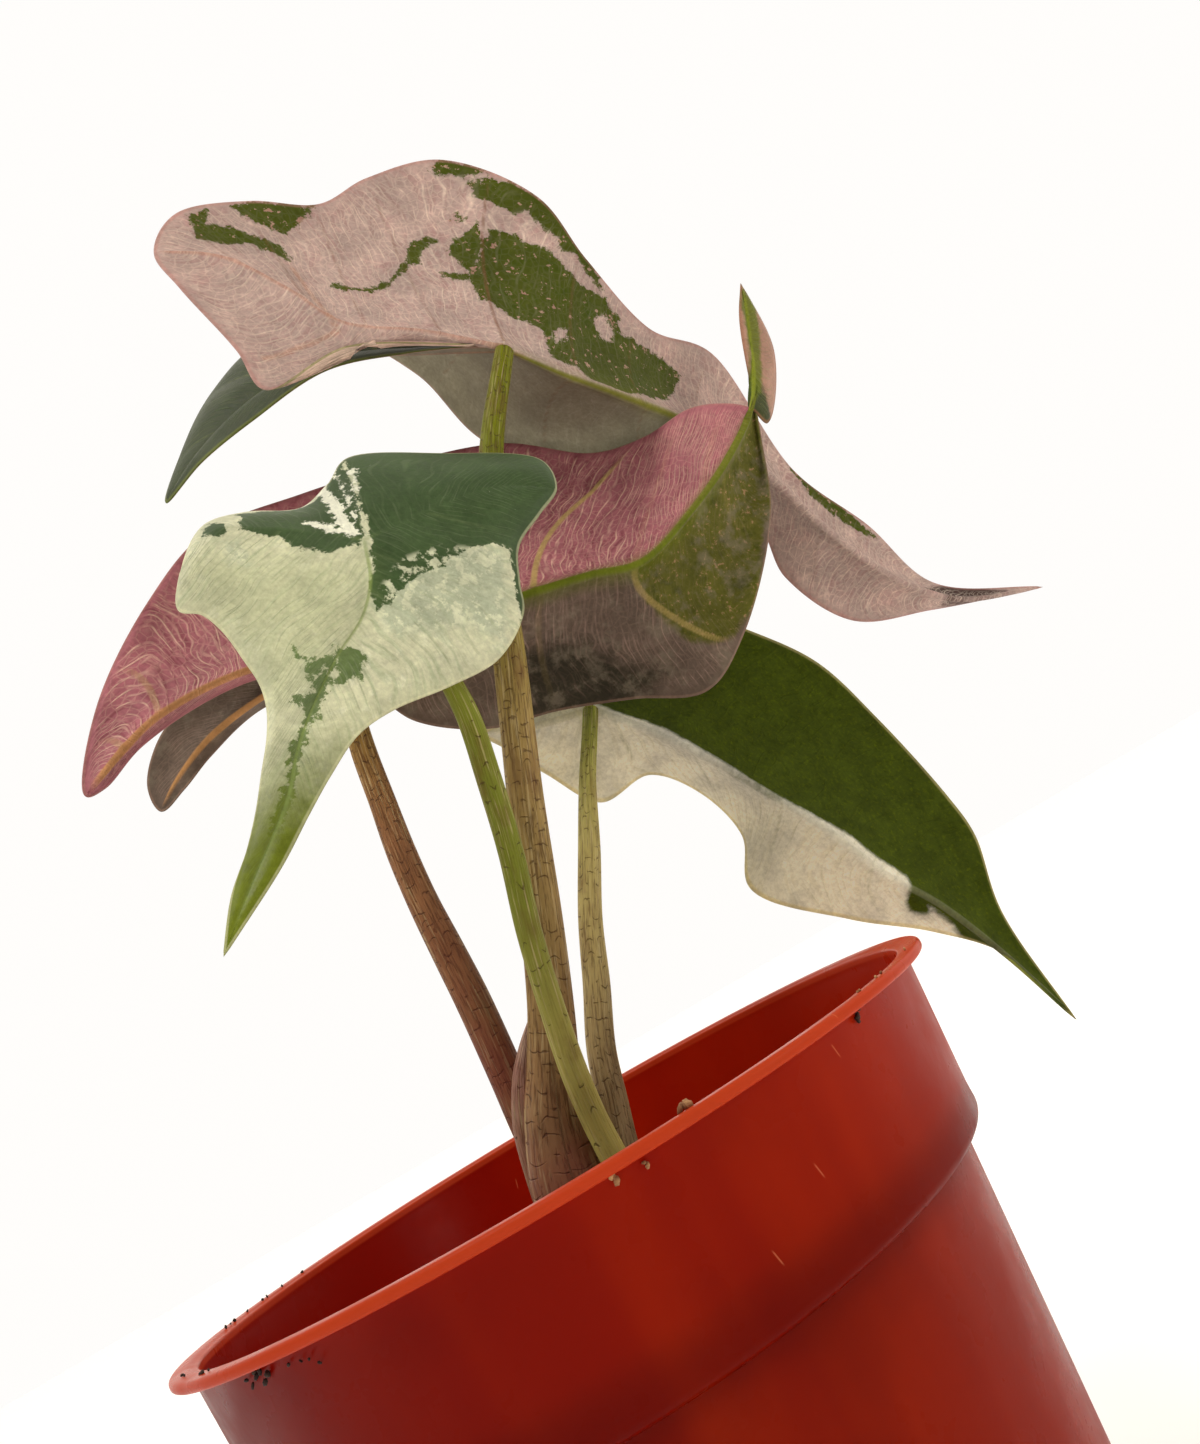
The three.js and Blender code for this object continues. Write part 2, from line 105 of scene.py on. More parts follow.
def between(tree, value, low, high, start=0.0, end=1.0):
    """Rises smoothly from start to end while value goes from low to high."""
    return add_node(tree, "ShaderNodeMapRange", {
        "Value": value, "From Min": low, "From Max": high, "To Min": start, "To Max": end},
        interpolation_type="SMOOTHSTEP")["Result"]


def surface(name, settings):
    """A new material, its node tree and its Principled shader, which takes the plain settings."""
    material = bpy.data.materials.new(name)
    material.use_nodes = True
    tree = material.node_tree
    shader = tree.nodes["Principled BSDF"]
    for label, value in settings.items():
        shader.inputs[label].default_value = value
    return material, tree, shader


world = bpy.data.worlds.new("studio")
world.use_nodes = True
scene.world = world
sky = world.node_tree
sky.nodes.clear()
looking = add_node(sky, "ShaderNodeTexCoord")["Generated"]
facing_wall = add_node(sky, "ShaderNodeVectorMath", {
    0: looking, 1: VIEW_AHEAD}, operation="DOT_PRODUCT")["Value"]
strength = between(sky, facing_wall, -0.5, 0.8, ROOM_LIGHT, WALL_LIGHT)
lit = add_node(sky, "ShaderNodeBackground", {"Color": WARM_LIGHT, "Strength": strength})[0]
seen = add_node(sky, "ShaderNodeBackground", {"Color": WARM_WHITE, "Strength": 1.0})[0]
is_seen = add_node(sky, "ShaderNodeLightPath")["Is Camera Ray"]
either = add_node(sky, "ShaderNodeMixShader", {0: is_seen, 1: lit, 2: seen})[0]
add_node(sky, "ShaderNodeOutputWorld", {"Surface": either})

floor_mesh = bpy.data.meshes.new("floor")
half_floor = FLOOR_SIZE / 2
floor_mesh.from_pydata(
    [(-half_floor, -half_floor, 0), (half_floor, -half_floor, 0),
     (half_floor, half_floor, 0), (-half_floor, half_floor, 0)], [], [(0, 1, 2, 3)])
floor_mesh.materials.append(surface("white_paper", {
    "Base Color": PAPER_WHITE, "Roughness": 0.9,
    "Emission Color": WARM_WHITE, "Emission Strength": FLOOR_GLOW})[0])
floor = bpy.data.objects.new("floor", floor_mesh)
scene.collection.objects.link(floor)

for name, box in SOFT_BOXES.items():
    lamp = bpy.data.lights.new(name, "AREA")
    lamp.shape = "DISK"
    lamp.size = box["size"]
    lamp.energy = box["power"]
    lamp.color = SOFT_BOX_TINT
    light = bpy.data.objects.new(name, lamp)
    light.location = box["place"]
    aim = Vector(box["target"]) - Vector(box["place"])
    light.rotation_euler = aim.to_track_quat("-Z", "Y").to_euler()
    scene.collection.objects.link(light)

# Pot. A thin injection-moulded plastic nursery pot, glossy and terracotta-coloured. Its lip,
# collar, step, tapered body, raised floor and standing ring are one moulding, and the mould
# leaves the drain holes and the notches open.
POT = {
    "height": 100, "rim": 60, "lip": 1.4, "lip_round": 0.55, "collar_top": 57.3, "collar_foot": 55,
    "collar_drop": 22.5, "step": 2, "body_top": 51.8, "base": 43, "wall": 1, "ring": 1.6,
    "floor": 3, "floor_thick": 1.2, "pad": 9, "draft": 0.8,
}
POT_SIDES = 240
POT_CREASE = 35
DRAIN = {"radius": 3.5, "circle": 29, "count": 8, "sides": 32, "reach": 4}
NOTCH = {"width": 9, "height": 1.6, "count": 4}
# The plastic's own colour and darker blotches, with a lighter orange used for painted light and painted
# highlights, and a darker red also used for painted shade.
TERRACOTTA = srgb(120, 16, 1)
TERRACOTTA_LIT = srgb(156, 38, 3)
TERRACOTTA_DARK_AND_SHADE = srgb(86, 5, 1)
TERRACOTTA_LIP_HIGHLIGHT = srgb(190, 74, 38)
TERRACOTTA_SCRATCH = srgb(214, 120, 80)
TERRACOTTA_THROUGH = srgb(236, 84, 24)
LIGHT_THROUGH_POT = 0.3


def new_object(name, mesh):
    made = bpy.data.objects.new(name, mesh)
    scene.collection.objects.link(made)
    return made


def mesh_from(name, points_mm, faces):
    mesh = bpy.data.meshes.new(name)
    mesh.from_pydata([tuple(p) for p in np.asarray(points_mm) * MM], [], faces)
    mesh.update()
    return mesh


def turned(name, profile, sides):
    """A profile of (radius, height) points in millimetres, turned round the Z axis and closed."""
    points = []
    rings = []
    for radius, height in profile:
        if radius == 0:
            rings.append([len(points)] * sides)
            points.append((0, 0, height))
            continue
        rings.append(range(len(points), len(points) + sides))
        turns = np.arange(sides) * 2 * math.pi / sides
        points += [(radius * math.cos(t), radius * math.sin(t), height) for t in turns]
    faces = []
    for lower, upper in zip(rings, rings[1:]):
        for k in range(sides):
            corners = [lower[k], lower[(k + 1) % sides], upper[(k + 1) % sides], upper[k]]
            corners = list(dict.fromkeys(corners))
            if len(corners) > 2:
                faces.append(corners)
    return mesh_from(name, points, faces)


def rounded(centre, radius, start, end, steps=5):
    """Points of an arc in degrees, for the rounded edges of a profile."""
    turns = np.radians(np.linspace(start, end, steps))
    return [(centre[0] + radius * math.cos(t), centre[1] + radius * math.sin(t)) for t in turns]


def pot_profile():
    """The wall's section as (radius, height), from the middle of the underside up the outside,
    over the lip and down the inside."""
    p = POT
    top, drop, r = p["height"], p["step"], p["lip_round"]
    step = top - p["collar_drop"]
    lip_foot = top - p["lip"]
    floor_top = p["floor"] + p["floor_thick"]
    pad_side = p["pad"] + p["draft"]
    ring_inside = p["base"] - p["ring"]
    ring_side = ring_inside - p["draft"]
    lip_inside = p["collar_top"] - p["wall"]
    collar_inside = p["collar_foot"] - p["wall"]
    body_inside = p["body_top"] - p["wall"]
    base_inside = p["base"] - p["wall"]
    return [
        (0, 0), (p["pad"] - 0.4, 0), (p["pad"], 0.2), (pad_side, p["floor"] - 0.3),
        (pad_side + 0.4, p["floor"]), (ring_side - 0.4, p["floor"]),
        (ring_side, p["floor"] - 0.3), (ring_inside, 0.2), (ring_inside + 0.2, 0),
        (p["base"] - 0.4, 0), (p["base"] - 0.1, 0.12), (p["base"], 0.4),
        (p["body_top"] - 0.1, step - drop - 0.6), (p["body_top"] + 0.1, step - drop),
        (p["body_top"] + 0.6, step - 0.9 * drop),
        *rounded((p["collar_foot"] - 1.4, step + 0.2), 1.5, -80, -5, 7),
        (p["collar_foot"] + 0.2, step + 1.2 * drop),
        (p["collar_top"] - 0.02, lip_foot - 0.5), (p["collar_top"] + 0.3, lip_foot - 0.05),
        *rounded((p["rim"] - r, lip_foot + r), r, -90, 0),
        *rounded((p["rim"] - r, top - r), r, 0, 90),
        (lip_inside + 1.5, top - 0.02), (lip_inside + 1.0, top - 0.12),
        (lip_inside + 0.75, top - 0.3), (lip_inside + 0.45, top - 0.34),
        *rounded((lip_inside + 0.3, top - 0.75), 0.35, 90, 180),
        (lip_inside - 0.02, top - 1.5), (lip_inside - 0.12, top - 2.4),
        (collar_inside + 0.15, step + 1.2 * drop), (collar_inside - 0.05, step + 0.5 * drop),
        (collar_inside - 0.7, step + 0.1 * drop), (body_inside + 0.3, step - 0.3 * drop),
        (body_inside, step - 1.2 * drop), (base_inside + 0.4, floor_top + 1),
        (base_inside - 0.5, floor_top + 0.1), (base_inside - 1.2, floor_top), (0, floor_top),
    ]


def geometry_tree(name, inputs):
    """An empty Geometry Nodes tree with named inputs, and its group's input and output nodes."""
    tree = bpy.data.node_groups.new(name, "GeometryNodeTree")
    tree.interface.new_socket("Geometry", in_out="INPUT", socket_type="NodeSocketGeometry")
    for label, (kind, value) in inputs.items():
        socket = tree.interface.new_socket(label, in_out="INPUT", socket_type="NodeSocket" + kind)
        socket.default_value = value
    tree.interface.new_socket("Geometry", in_out="OUTPUT", socket_type="NodeSocketGeometry")
    return tree, tree.nodes.new("NodeGroupInput").outputs, tree.nodes.new("NodeGroupOutput").inputs


def grow(piece, tree, values):
    """Runs a Geometry Nodes tree on a piece and keeps the result as its plain mesh."""
    modifier = piece.modifiers.new(tree.name, "NODES")
    modifier.node_group = tree
    for item in tree.interface.items_tree:
        if item.in_out == "INPUT" and item.name in values:
            modifier[item.identifier] = values[item.name]
    bpy.context.view_layer.update()
    graph = bpy.context.evaluated_depsgraph_get()
    mesh = bpy.data.meshes.new_from_object(
        piece.evaluated_get(graph), preserve_all_data_layers=True, depsgraph=graph)
    piece.modifiers.remove(modifier)
    piece.data = mesh


def xyz(tree, vector):
    """The X, Y and Z of a vector."""
    return add_node(tree, "ShaderNodeSeparateXYZ", {0: vector})


def ring_of_cutters_tree():
    """Copies of a cutter round a circle, each turned to face outwards."""
    tree, given, result = geometry_tree("ring_of_cutters", {
        "Count": ("Int", 8), "Circle": ("Float", 0.03), "Start": ("Float", 0.0)})
    circle = add_node(tree, "GeometryNodeMeshCircle", {
        "Vertices": given["Count"], "Radius": given["Circle"]})
    parts = xyz(tree, add_node(tree, "GeometryNodeInputPosition")[0])
    turn = maths(tree, "ARCTAN2", parts["Y"], parts["X"])
    facing = add_node(tree, "ShaderNodeCombineXYZ", {"Z": turn})[0]
    turned_copies = add_node(tree, "GeometryNodeInstanceOnPoints", {
        "Points": circle["Mesh"], "Instance": given["Geometry"], "Rotation": facing})["Instances"]
    real = add_node(tree, "GeometryNodeRealizeInstances", {0: turned_copies})[0]
    start = add_node(tree, "ShaderNodeCombineXYZ", {"Z": given["Start"]})[0]
    moved = add_node(tree, "GeometryNodeTransform", {"Geometry": real, "Rotation": start})[0]
    finished = add_node(tree, "GeometryNodeSetMaterial", {"Geometry": moved})[0]
    tree.links.new(finished, result["Geometry"])
    return tree


def cut(piece, cutter):
    """Takes the cutter's shape out of a piece."""
    modifier = piece.modifiers.new("cut", "BOOLEAN")
    modifier.object = cutter
    modifier.operation = "DIFFERENCE"
    modifier.solver = "EXACT"
    bpy.context.view_layer.update()
    evaluated = piece.evaluated_get(bpy.context.evaluated_depsgraph_get())
    piece.data = bpy.data.meshes.new_from_object(evaluated)
    piece.modifiers.clear()
    bpy.data.objects.remove(cutter)


def smooth_by_angle(piece, degrees):
    """Smooth shading, with the edges that turn more than this kept sharp."""
    mesh = piece.data
    mesh.shade_smooth()
    shape = bmesh.new()
    shape.from_mesh(mesh)
    for edge in shape.edges:
        edge.smooth = len(edge.link_faces) == 2 and edge.calc_face_angle() < math.radians(degrees)
    shape.to_mesh(mesh)
    shape.free()


def object_mm(tree):
    """Object coordinates in millimetres."""
    place = add_node(tree, "ShaderNodeTexCoord")["Object"]
    return add_node(tree, "ShaderNodeVectorMath", {0: place, "Scale": 1 / MM}, operation="SCALE")[0]


def grain(tree, place, size, detail=2.0, roughness=0.5, stretch=(1, 1, 1)):
    """Noise from 0 to 1 whose lumps are about size millimetres across."""
    if stretch != (1, 1, 1):
        place = add_node(tree, "ShaderNodeVectorMath", {0: place, 1: stretch}, operation="MULTIPLY")[0]
    return add_node(tree, "ShaderNodeTexNoise", {
        "Vector": place, "Scale": 1 / size, "Detail": detail, "Roughness": roughness})[0]


def blend(tree, share, under, over, kind="MIX"):
    """One colour laid over another, by a share from 0 to 1."""
    mixed = tree.nodes.new("ShaderNodeMix")
    mixed.data_type = "RGBA"
    mixed.blend_type = kind
    sockets = [s for s in mixed.inputs if s.enabled]
    for socket, value in zip(sockets, (share, under, over)):
        if isinstance(value, bpy.types.NodeSocket):
            tree.links.new(value, socket)
        else:
            socket.default_value = value
    return next(s for s in mixed.outputs if s.enabled)


def bump(tree, shader, height, distance):
    normal = add_node(tree, "ShaderNodeBump", {
        "Height": height, "Strength": 1.0, "Distance": distance})[0]
    tree.links.new(normal, shader.inputs["Normal"])


def times(tree, *factors):
    """The product of two or more values."""
    product = factors[0]
    for factor in factors[1:]:
        product = maths(tree, "MULTIPLY", product, factor)
    return product


def strokes(tree, place, per_unit):
    """Random cells, each the home of one short stroke: the way from the cell's middle, and
    random numbers that are the same all over the cell."""
    cells = add_node(tree, "ShaderNodeTexVoronoi", {
        "Vector": place, "Scale": per_unit, "Randomness": 1.0}, feature="F1")
    away = add_node(tree, "ShaderNodeVectorMath", {
        0: place, 1: cells["Position"]}, operation="SUBTRACT")[0]
    return xyz(tree, away), add_node(tree, "ShaderNodeSeparateColor", {0: cells["Color"]})


def glow_through(tree, shader, share, colour):
    """Lets a share of the light behind a thin wall come through it in its own colour."""
    through = add_node(tree, "ShaderNodeBsdfTranslucent", {"Color": colour})[0]
    both = add_node(tree, "ShaderNodeMixShader", {0: share, 1: shader.outputs[0], 2: through})[0]
    output = next(n for n in tree.nodes if n.type == "OUTPUT_MATERIAL")
    tree.links.new(both, output.inputs["Surface"])


def plastic():
    """Glossy moulded plastic: soft bands and one side of painted light, painted shade on the other side
    and along the step, a painted highlight on the lip, darker blotches, orange peel, rubbed patches,
    hair-fine scratches.
    """
    material, tree, shader = surface("terracotta_plastic", {"IOR": 1.5, "Specular IOR Level": 0.045})
    place = object_mm(tree)
    parts = xyz(tree, place)
    turn = maths(tree, "ARCTAN2", parts["Y"], parts["X"])
    round_mm = times(tree, turn, POT["collar_foot"])
    unrolled = add_node(tree, "ShaderNodeCombineXYZ", {"X": round_mm, "Y": parts["Z"]})[0]
    # Soft vertical bands of painted light: lighter orange where the upright stretched noise runs high.
    streaks = grain(tree, unrolled, 14, 3, 0.5, (1, 0.12, 1))
    cloudy = grain(tree, place, 22, 3)
    colour = blend(tree, between(tree, streaks, 0.4, 0.75, 0.0, 0.6), TERRACOTTA, TERRACOTTA_LIT)
    colour = blend(tree, between(tree, cloudy, 0.35, 0.6, 0.4, 0.0), colour, TERRACOTTA_DARK_AND_SHADE)
    # Painted light: the colour turns lighter towards the right side of the pot.
    painted_light_right = between(tree, maths(tree, "MULTIPLY_ADD", streaks, 12, parts["X"]), 5, 70, 0.0, 0.75)
    colour = blend(tree, painted_light_right, colour, TERRACOTTA_LIT)
    # Painted shade: the colour turns darker towards the left side of the pot.
    colour = blend(tree, between(tree, parts["X"], -45, 10, 0.75, 0.0), colour, TERRACOTTA_DARK_AND_SHADE)
    # Painted shade: a dark band along the step, just above and below it.
    step = POT["height"] - POT["collar_drop"]
    from_step = maths(tree, "ABSOLUTE", maths(tree, "SUBTRACT", parts["Z"], step))
    colour = blend(tree, between(tree, from_step, 0.5, 6, 0.6, 0.0), colour, TERRACOTTA_DARK_AND_SHADE)
    # Painted highlight: the top of the lip is painted a paler orange.
    lip_highlight = between(tree, parts["Z"], POT["height"] - 1.7, POT["height"] - 1.2, 0.0, 0.7)
    colour = blend(tree, lip_highlight, colour, TERRACOTTA_LIP_HIGHLIGHT)
    away, drawn = strokes(tree, unrolled, 0.11)
    lean = maths(tree, "MULTIPLY_ADD", away["Y"], 0.25, away["X"])
    thin = between(tree, maths(tree, "ABSOLUTE", lean), 0.04, 0.14, 1.0, 0.0)
    short = between(tree, maths(tree, "ABSOLUTE", away["Y"]), 0.5, 1.1, 1.0, 0.0)
    rare = maths(tree, "GREATER_THAN", drawn[0], 0.9)
    scratch = times(tree, thin, short, rare)
    colour = blend(tree, times(tree, scratch, 0.5), colour, TERRACOTTA_SCRATCH)
    tree.links.new(colour, shader.inputs["Base Color"])
    rubbed = between(tree, grain(tree, place, 9, 4, 0.6), 0.3, 0.75, 0.24, 0.4)
    roughness = maths(tree, "ADD", rubbed, times(tree, scratch, 0.25))
    tree.links.new(roughness, shader.inputs["Roughness"])
    peel = grain(tree, place, 1.1, 2)
    waves = grain(tree, unrolled, 18, 1, 0.4, (1, 0.3, 1))
    bump(tree, shader, maths(tree, "MULTIPLY_ADD", waves, 12, peel), 0.02 * MM)
    glow_through(tree, shader, LIGHT_THROUGH_POT, TERRACOTTA_THROUGH)
    return material


pot = new_object("pot_shell", turned("pot_shell", pot_profile(), POT_SIDES))
plug_top = POT["floor"] + DRAIN["reach"]
plug_profile = [(0, -1), (DRAIN["radius"], -1), (DRAIN["radius"], plug_top), (0, plug_top)]
drain_cutters = new_object("drain_cutters", turned("drain_cutters", plug_profile, DRAIN["sides"]))
ring_of_cutters = ring_of_cutters_tree()
grow(drain_cutters, ring_of_cutters, {
    "Count": DRAIN["count"], "Circle": DRAIN["circle"] * MM, "Start": math.pi / DRAIN["count"]})
cut(pot, drain_cutters)


def box_mesh(name, size):
    """A box round the origin."""
    corners = [(x, y, z) for x in (-0.5, 0.5) for y in (-0.5, 0.5) for z in (-0.5, 0.5)]
    faces = [(0, 1, 3, 2), (4, 6, 7, 5), (0, 4, 5, 1), (2, 3, 7, 6), (0, 2, 6, 4), (1, 5, 7, 3)]
    return mesh_from(name, np.array(corners) * size, faces)


notch_cutters = new_object("notch_cutters", box_mesh(
    "notch_cutters", (4 * POT["ring"], NOTCH["width"], 2 * NOTCH["height"])))
grow(notch_cutters, ring_of_cutters, {
    "Count": NOTCH["count"], "Circle": (POT["base"] - POT["ring"]) * MM,
    "Start": math.pi / NOTCH["count"]})
cut(pot, notch_cutters)
smooth_by_angle(pot, POT_CREASE)
pot.data.materials.append(plastic())
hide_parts("pot")
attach(pot, "root")

# Soil. Dark, crumbly potting mix of peat, bark chips and white grains of perlite. It is poured
# in round the roots, and settles a little below the rim.
SOIL = {
    "edge": 83.0, "crown": 85.5, "rings": 110, "sides": 220, "gap": 0.35, "lift": 0.3,
    "broad": 0.9, "broad_size": 13, "lumpy": 0.55, "lumpy_size": 4.2,
    "crumbly": 0.35, "crumbly_size": 1.7, "crumbs_reach": 52,
}
CRUMB_TURNS = (6.28, 6.28, 6.28)
CRUMB_UPWARD = 0.3
PEAT = srgb(58, 43, 33)
PEAT_DARK = srgb(26, 18, 14)
CHIP = srgb(104, 70, 44)
PERLITE = srgb(214, 208, 196)


def soil_mesh():
    """A plug that fills the pot with a little slack, its open top raised in the middle and lumpy."""
    step = POT["height"] - POT["collar_drop"]
    slack = POT["wall"] + SOIL["gap"]
    flare = (POT["collar_top"] - POT["collar_foot"]) / POT["collar_drop"]
    foot = POT["floor"] + POT["floor_thick"] + SOIL["lift"]
    edge_radius = POT["collar_foot"] - slack + flare * (SOIL["edge"] - step - POT["step"])
    sides = [
        (0, foot), (POT["base"] - slack - 0.6, foot), (POT["base"] - slack + 0.3, foot + 1),
        (POT["body_top"] - slack, step - 1.1 * POT["step"]),
        (POT["body_top"] - slack + 0.2, step - 0.1 * POT["step"]),
        (POT["collar_foot"] - slack - 0.8, step + 0.4 * POT["step"]),
        (POT["collar_foot"] - slack, step + 1.1 * POT["step"]),
    ]
    top = []
    for share in np.linspace(1, 0, SOIL["rings"]):
        crown = SOIL["edge"] + (SOIL["crown"] - SOIL["edge"]) * (1 - share ** 2)
        top.append((edge_radius * share, crown))
    mesh = turned("soil", sides + top, SOIL["sides"])
    for vertex in mesh.vertices:
        x, y, z = vertex.co / MM
        reach = math.hypot(x, y)
        if z < SOIL["edge"] - 0.2 or reach > edge_radius - 0.2:
            continue
        broad = noise.noise(Vector((x, y, 0)) / SOIL["broad_size"])
        lumpy = noise.noise(Vector((x, y, 5)) / SOIL["lumpy_size"])
        crumb = 1 - 2 * abs(noise.noise(Vector((x, y, 9)) / SOIL["crumbly_size"]))
        vertex.co.z += (SOIL["broad"] * broad + SOIL["lumpy"] * lumpy + SOIL["crumbly"] * crumb) * MM
    return mesh


def earth():
    material, tree, shader = surface("potting_mix", {"Roughness": 0.95, "Specular IOR Level": 0.2})
    place = object_mm(tree)
    colour = blend(tree, between(tree, grain(tree, place, 1.4, 5, 0.7), 0.35, 0.65), PEAT_DARK, PEAT)
    colour = blend(tree, between(tree, grain(tree, place, 3.5, 3), 0.62, 0.75, 0.0, 0.6), colour, CHIP)
    tree.links.new(colour, shader.inputs["Base Color"])
    bump(tree, shader, grain(tree, place, 0.7, 4, 0.7), 0.4 * MM)
    return material


def stored(tree, label):
    """A value that the mesh carries at its own points."""
    return add_node(tree, "ShaderNodeAttribute", attribute_name=label)["Fac"]


def crumb_finish(name, light, dark, size):
    """Crumbs between two colours, each with a tone of its own, and a grain of the given size."""
    material, tree, shader = surface(name, {"Roughness": 0.9})
    place = object_mm(tree)
    tone = times(tree, stored(tree, "tone"), 0.5)
    mixed = maths(tree, "MULTIPLY_ADD", grain(tree, place, size, 4, 0.6), 0.6, tone)
    colour = blend(tree, between(tree, mixed, 0.25, 0.8), dark, light)
    tree.links.new(colour, shader.inputs["Base Color"])
    bump(tree, shader, grain(tree, place, size / 2, 3, 0.6), 0.15 * MM)
    return material


def lump_mesh(name, size, seed, fineness):
    """One crumb: a small ball of 20 or 80 faces, dented by noise, size being its three widths."""
    shape = bmesh.new()
    bmesh.ops.create_icosphere(shape, subdivisions=fineness, radius=0.5)
    for vertex in shape.verts:
        dent = 1 + 0.35 * noise.noise(vertex.co * 3.1 + Vector((seed, 0, 0)))
        vertex.co = Vector([c * dent * s * MM for c, s in zip(vertex.co, size)])
    mesh = bpy.data.meshes.new(name)
    shape.to_mesh(mesh)
    shape.free()
    return mesh


def scatter_tree():
    """Crumbs strewn over a surface, turned and sized at random and sunk a little into it."""
    tree, given, result = geometry_tree("strewn_crumbs", {
        "Crumb": ("Object", None), "Per Square Metre": ("Float", 1e5), "Seed": ("Int", 1),
        "Smallest": ("Float", 0.5), "Largest": ("Float", 1.5), "Sink": ("Float", 0.0),
        "Reach": ("Float", 0.05), "Finish": ("Material", None)})
    upward = xyz(tree, add_node(tree, "GeometryNodeInputNormal")[0])["Z"]
    parts = xyz(tree, add_node(tree, "GeometryNodeInputPosition")[0])
    flat = add_node(tree, "ShaderNodeCombineXYZ", {"X": parts["X"], "Y": parts["Y"]})[0]
    reach = add_node(tree, "ShaderNodeVectorMath", {0: flat}, operation="LENGTH")["Value"]
    within = maths(tree, "LESS_THAN", reach, given["Reach"])
    on_top = times(tree, maths(tree, "GREATER_THAN", upward, CRUMB_UPWARD), within)
    points = add_node(tree, "GeometryNodeDistributePointsOnFaces", {
        "Mesh": given["Geometry"], "Selection": on_top, "Density": given["Per Square Metre"],
        "Seed": given["Seed"]})["Points"]
    turn = add_node(tree, "FunctionNodeRandomValue", {
        0: (0.0, 0.0, 0.0), 1: CRUMB_TURNS, "Seed": given["Seed"]},
        data_type="FLOAT_VECTOR")[0]
    size = add_node(tree, "FunctionNodeRandomValue", {
        2: given["Smallest"], 3: given["Largest"], "Seed": given["Seed"]}, data_type="FLOAT")[1]
    crumb = add_node(tree, "GeometryNodeObjectInfo", {"Object": given["Crumb"]})["Geometry"]
    copies = add_node(tree, "GeometryNodeInstanceOnPoints", {
        "Points": points, "Instance": crumb, "Rotation": turn, "Scale": size})["Instances"]
    tone = add_node(tree, "FunctionNodeRandomValue", {
        2: 0.0, 3: 1.0, "Seed": maths(tree, "ADD", given["Seed"], 7)}, data_type="FLOAT")[1]
    toned = add_node(tree, "GeometryNodeStoreNamedAttribute", {
        "Geometry": copies, "Name": "tone", "Value": tone}, data_type="FLOAT", domain="INSTANCE")[0]
    down = add_node(tree, "ShaderNodeCombineXYZ", {"Z": times(tree, given["Sink"], -1)})[0]
    sunk = add_node(tree, "GeometryNodeTranslateInstances", {
        "Instances": toned, "Translation": down, "Local Space": False})[0]
    real = add_node(tree, "GeometryNodeRealizeInstances", {0: sunk})[0]
    finished = add_node(tree, "GeometryNodeSetMaterial", {
        "Geometry": real, "Material": given["Finish"]})[0]
    tree.links.new(finished, result["Geometry"])
    return tree


soil = new_object("soil_bed", soil_mesh())
soil.data.shade_smooth()
soil.data.materials.append(earth())
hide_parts("soil")
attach(soil, "root")

strewn = scatter_tree()
CRUMBS = {
    "peat_crumbs": {
        "size": (1.9, 1.6, 1.3), "fineness": 1, "density": 95000, "seed": 3,
        "smallest": 0.5, "largest": 1.7, "sink": 0.1,
        "finish": crumb_finish("peat", PEAT, PEAT_DARK, 0.8)},
    "bark_chips": {
        "size": (5.2, 2.8, 1.4), "fineness": 2, "density": 16000, "seed": 5,
        "smallest": 0.6, "largest": 1.5, "sink": 0.1,
        "finish": crumb_finish("bark", CHIP, PEAT_DARK, 1.2)},
    "perlite_grains": {
        "size": (2.4, 2.1, 1.8), "fineness": 2, "density": 9000, "seed": 8,
        "smallest": 0.5, "largest": 1.3, "sink": 0.2,
        "finish": crumb_finish("perlite", PERLITE, CHIP, 0.9)},
}
for name, kind in CRUMBS.items():
    lump = lump_mesh(name, kind["size"], kind["seed"], kind["fineness"])
    pattern = new_object(name + "_pattern", lump)
    crumbs = new_object(name, soil.data.copy())
    grow(crumbs, strewn, {
        "Crumb": pattern, "Per Square Metre": float(kind["density"]), "Seed": kind["seed"],
        "Smallest": kind["smallest"], "Largest": kind["largest"], "Sink": kind["sink"] * MM,
        "Reach": SOIL["crumbs_reach"] * MM, "Finish": kind["finish"]})
    bpy.data.objects.remove(pattern)
    if crumbs.data.materials[0] is None:
        crumbs.data.materials.pop(index=0)
    crumbs.data.shade_smooth()
    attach(crumbs, "root")

# Corm and roots. The corm is the swollen foot of the stem, with a rough brown skin. Pale fleshy
# roots leave it and run down through the soil. They keep their CAD shapes, buried as they are.


def skin(name, light, dark, size, roughness):
    material, tree, shader = surface(name, {"Roughness": roughness})
    place = object_mm(tree)
    mixed = between(tree, grain(tree, place, size, 4, 0.6, (1, 1, 2.5)), 0.35, 0.65)
    tree.links.new(blend(tree, mixed, dark, light), shader.inputs["Base Color"])
    bump(tree, shader, grain(tree, place, size / 3, 3), 0.1 * MM)
    return material


def refinish(node, material):
    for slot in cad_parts[node].material_slots:
        slot.material = material


refinish("corm", skin("corm_skin", srgb(122, 92, 66), srgb(66, 46, 34), 3, 0.85))
root_skin = skin("root_skin", srgb(224, 210, 178), srgb(176, 148, 104), 2, 0.6)
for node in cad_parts:
    if node.startswith("root_"):
        refinish(node, root_skin)

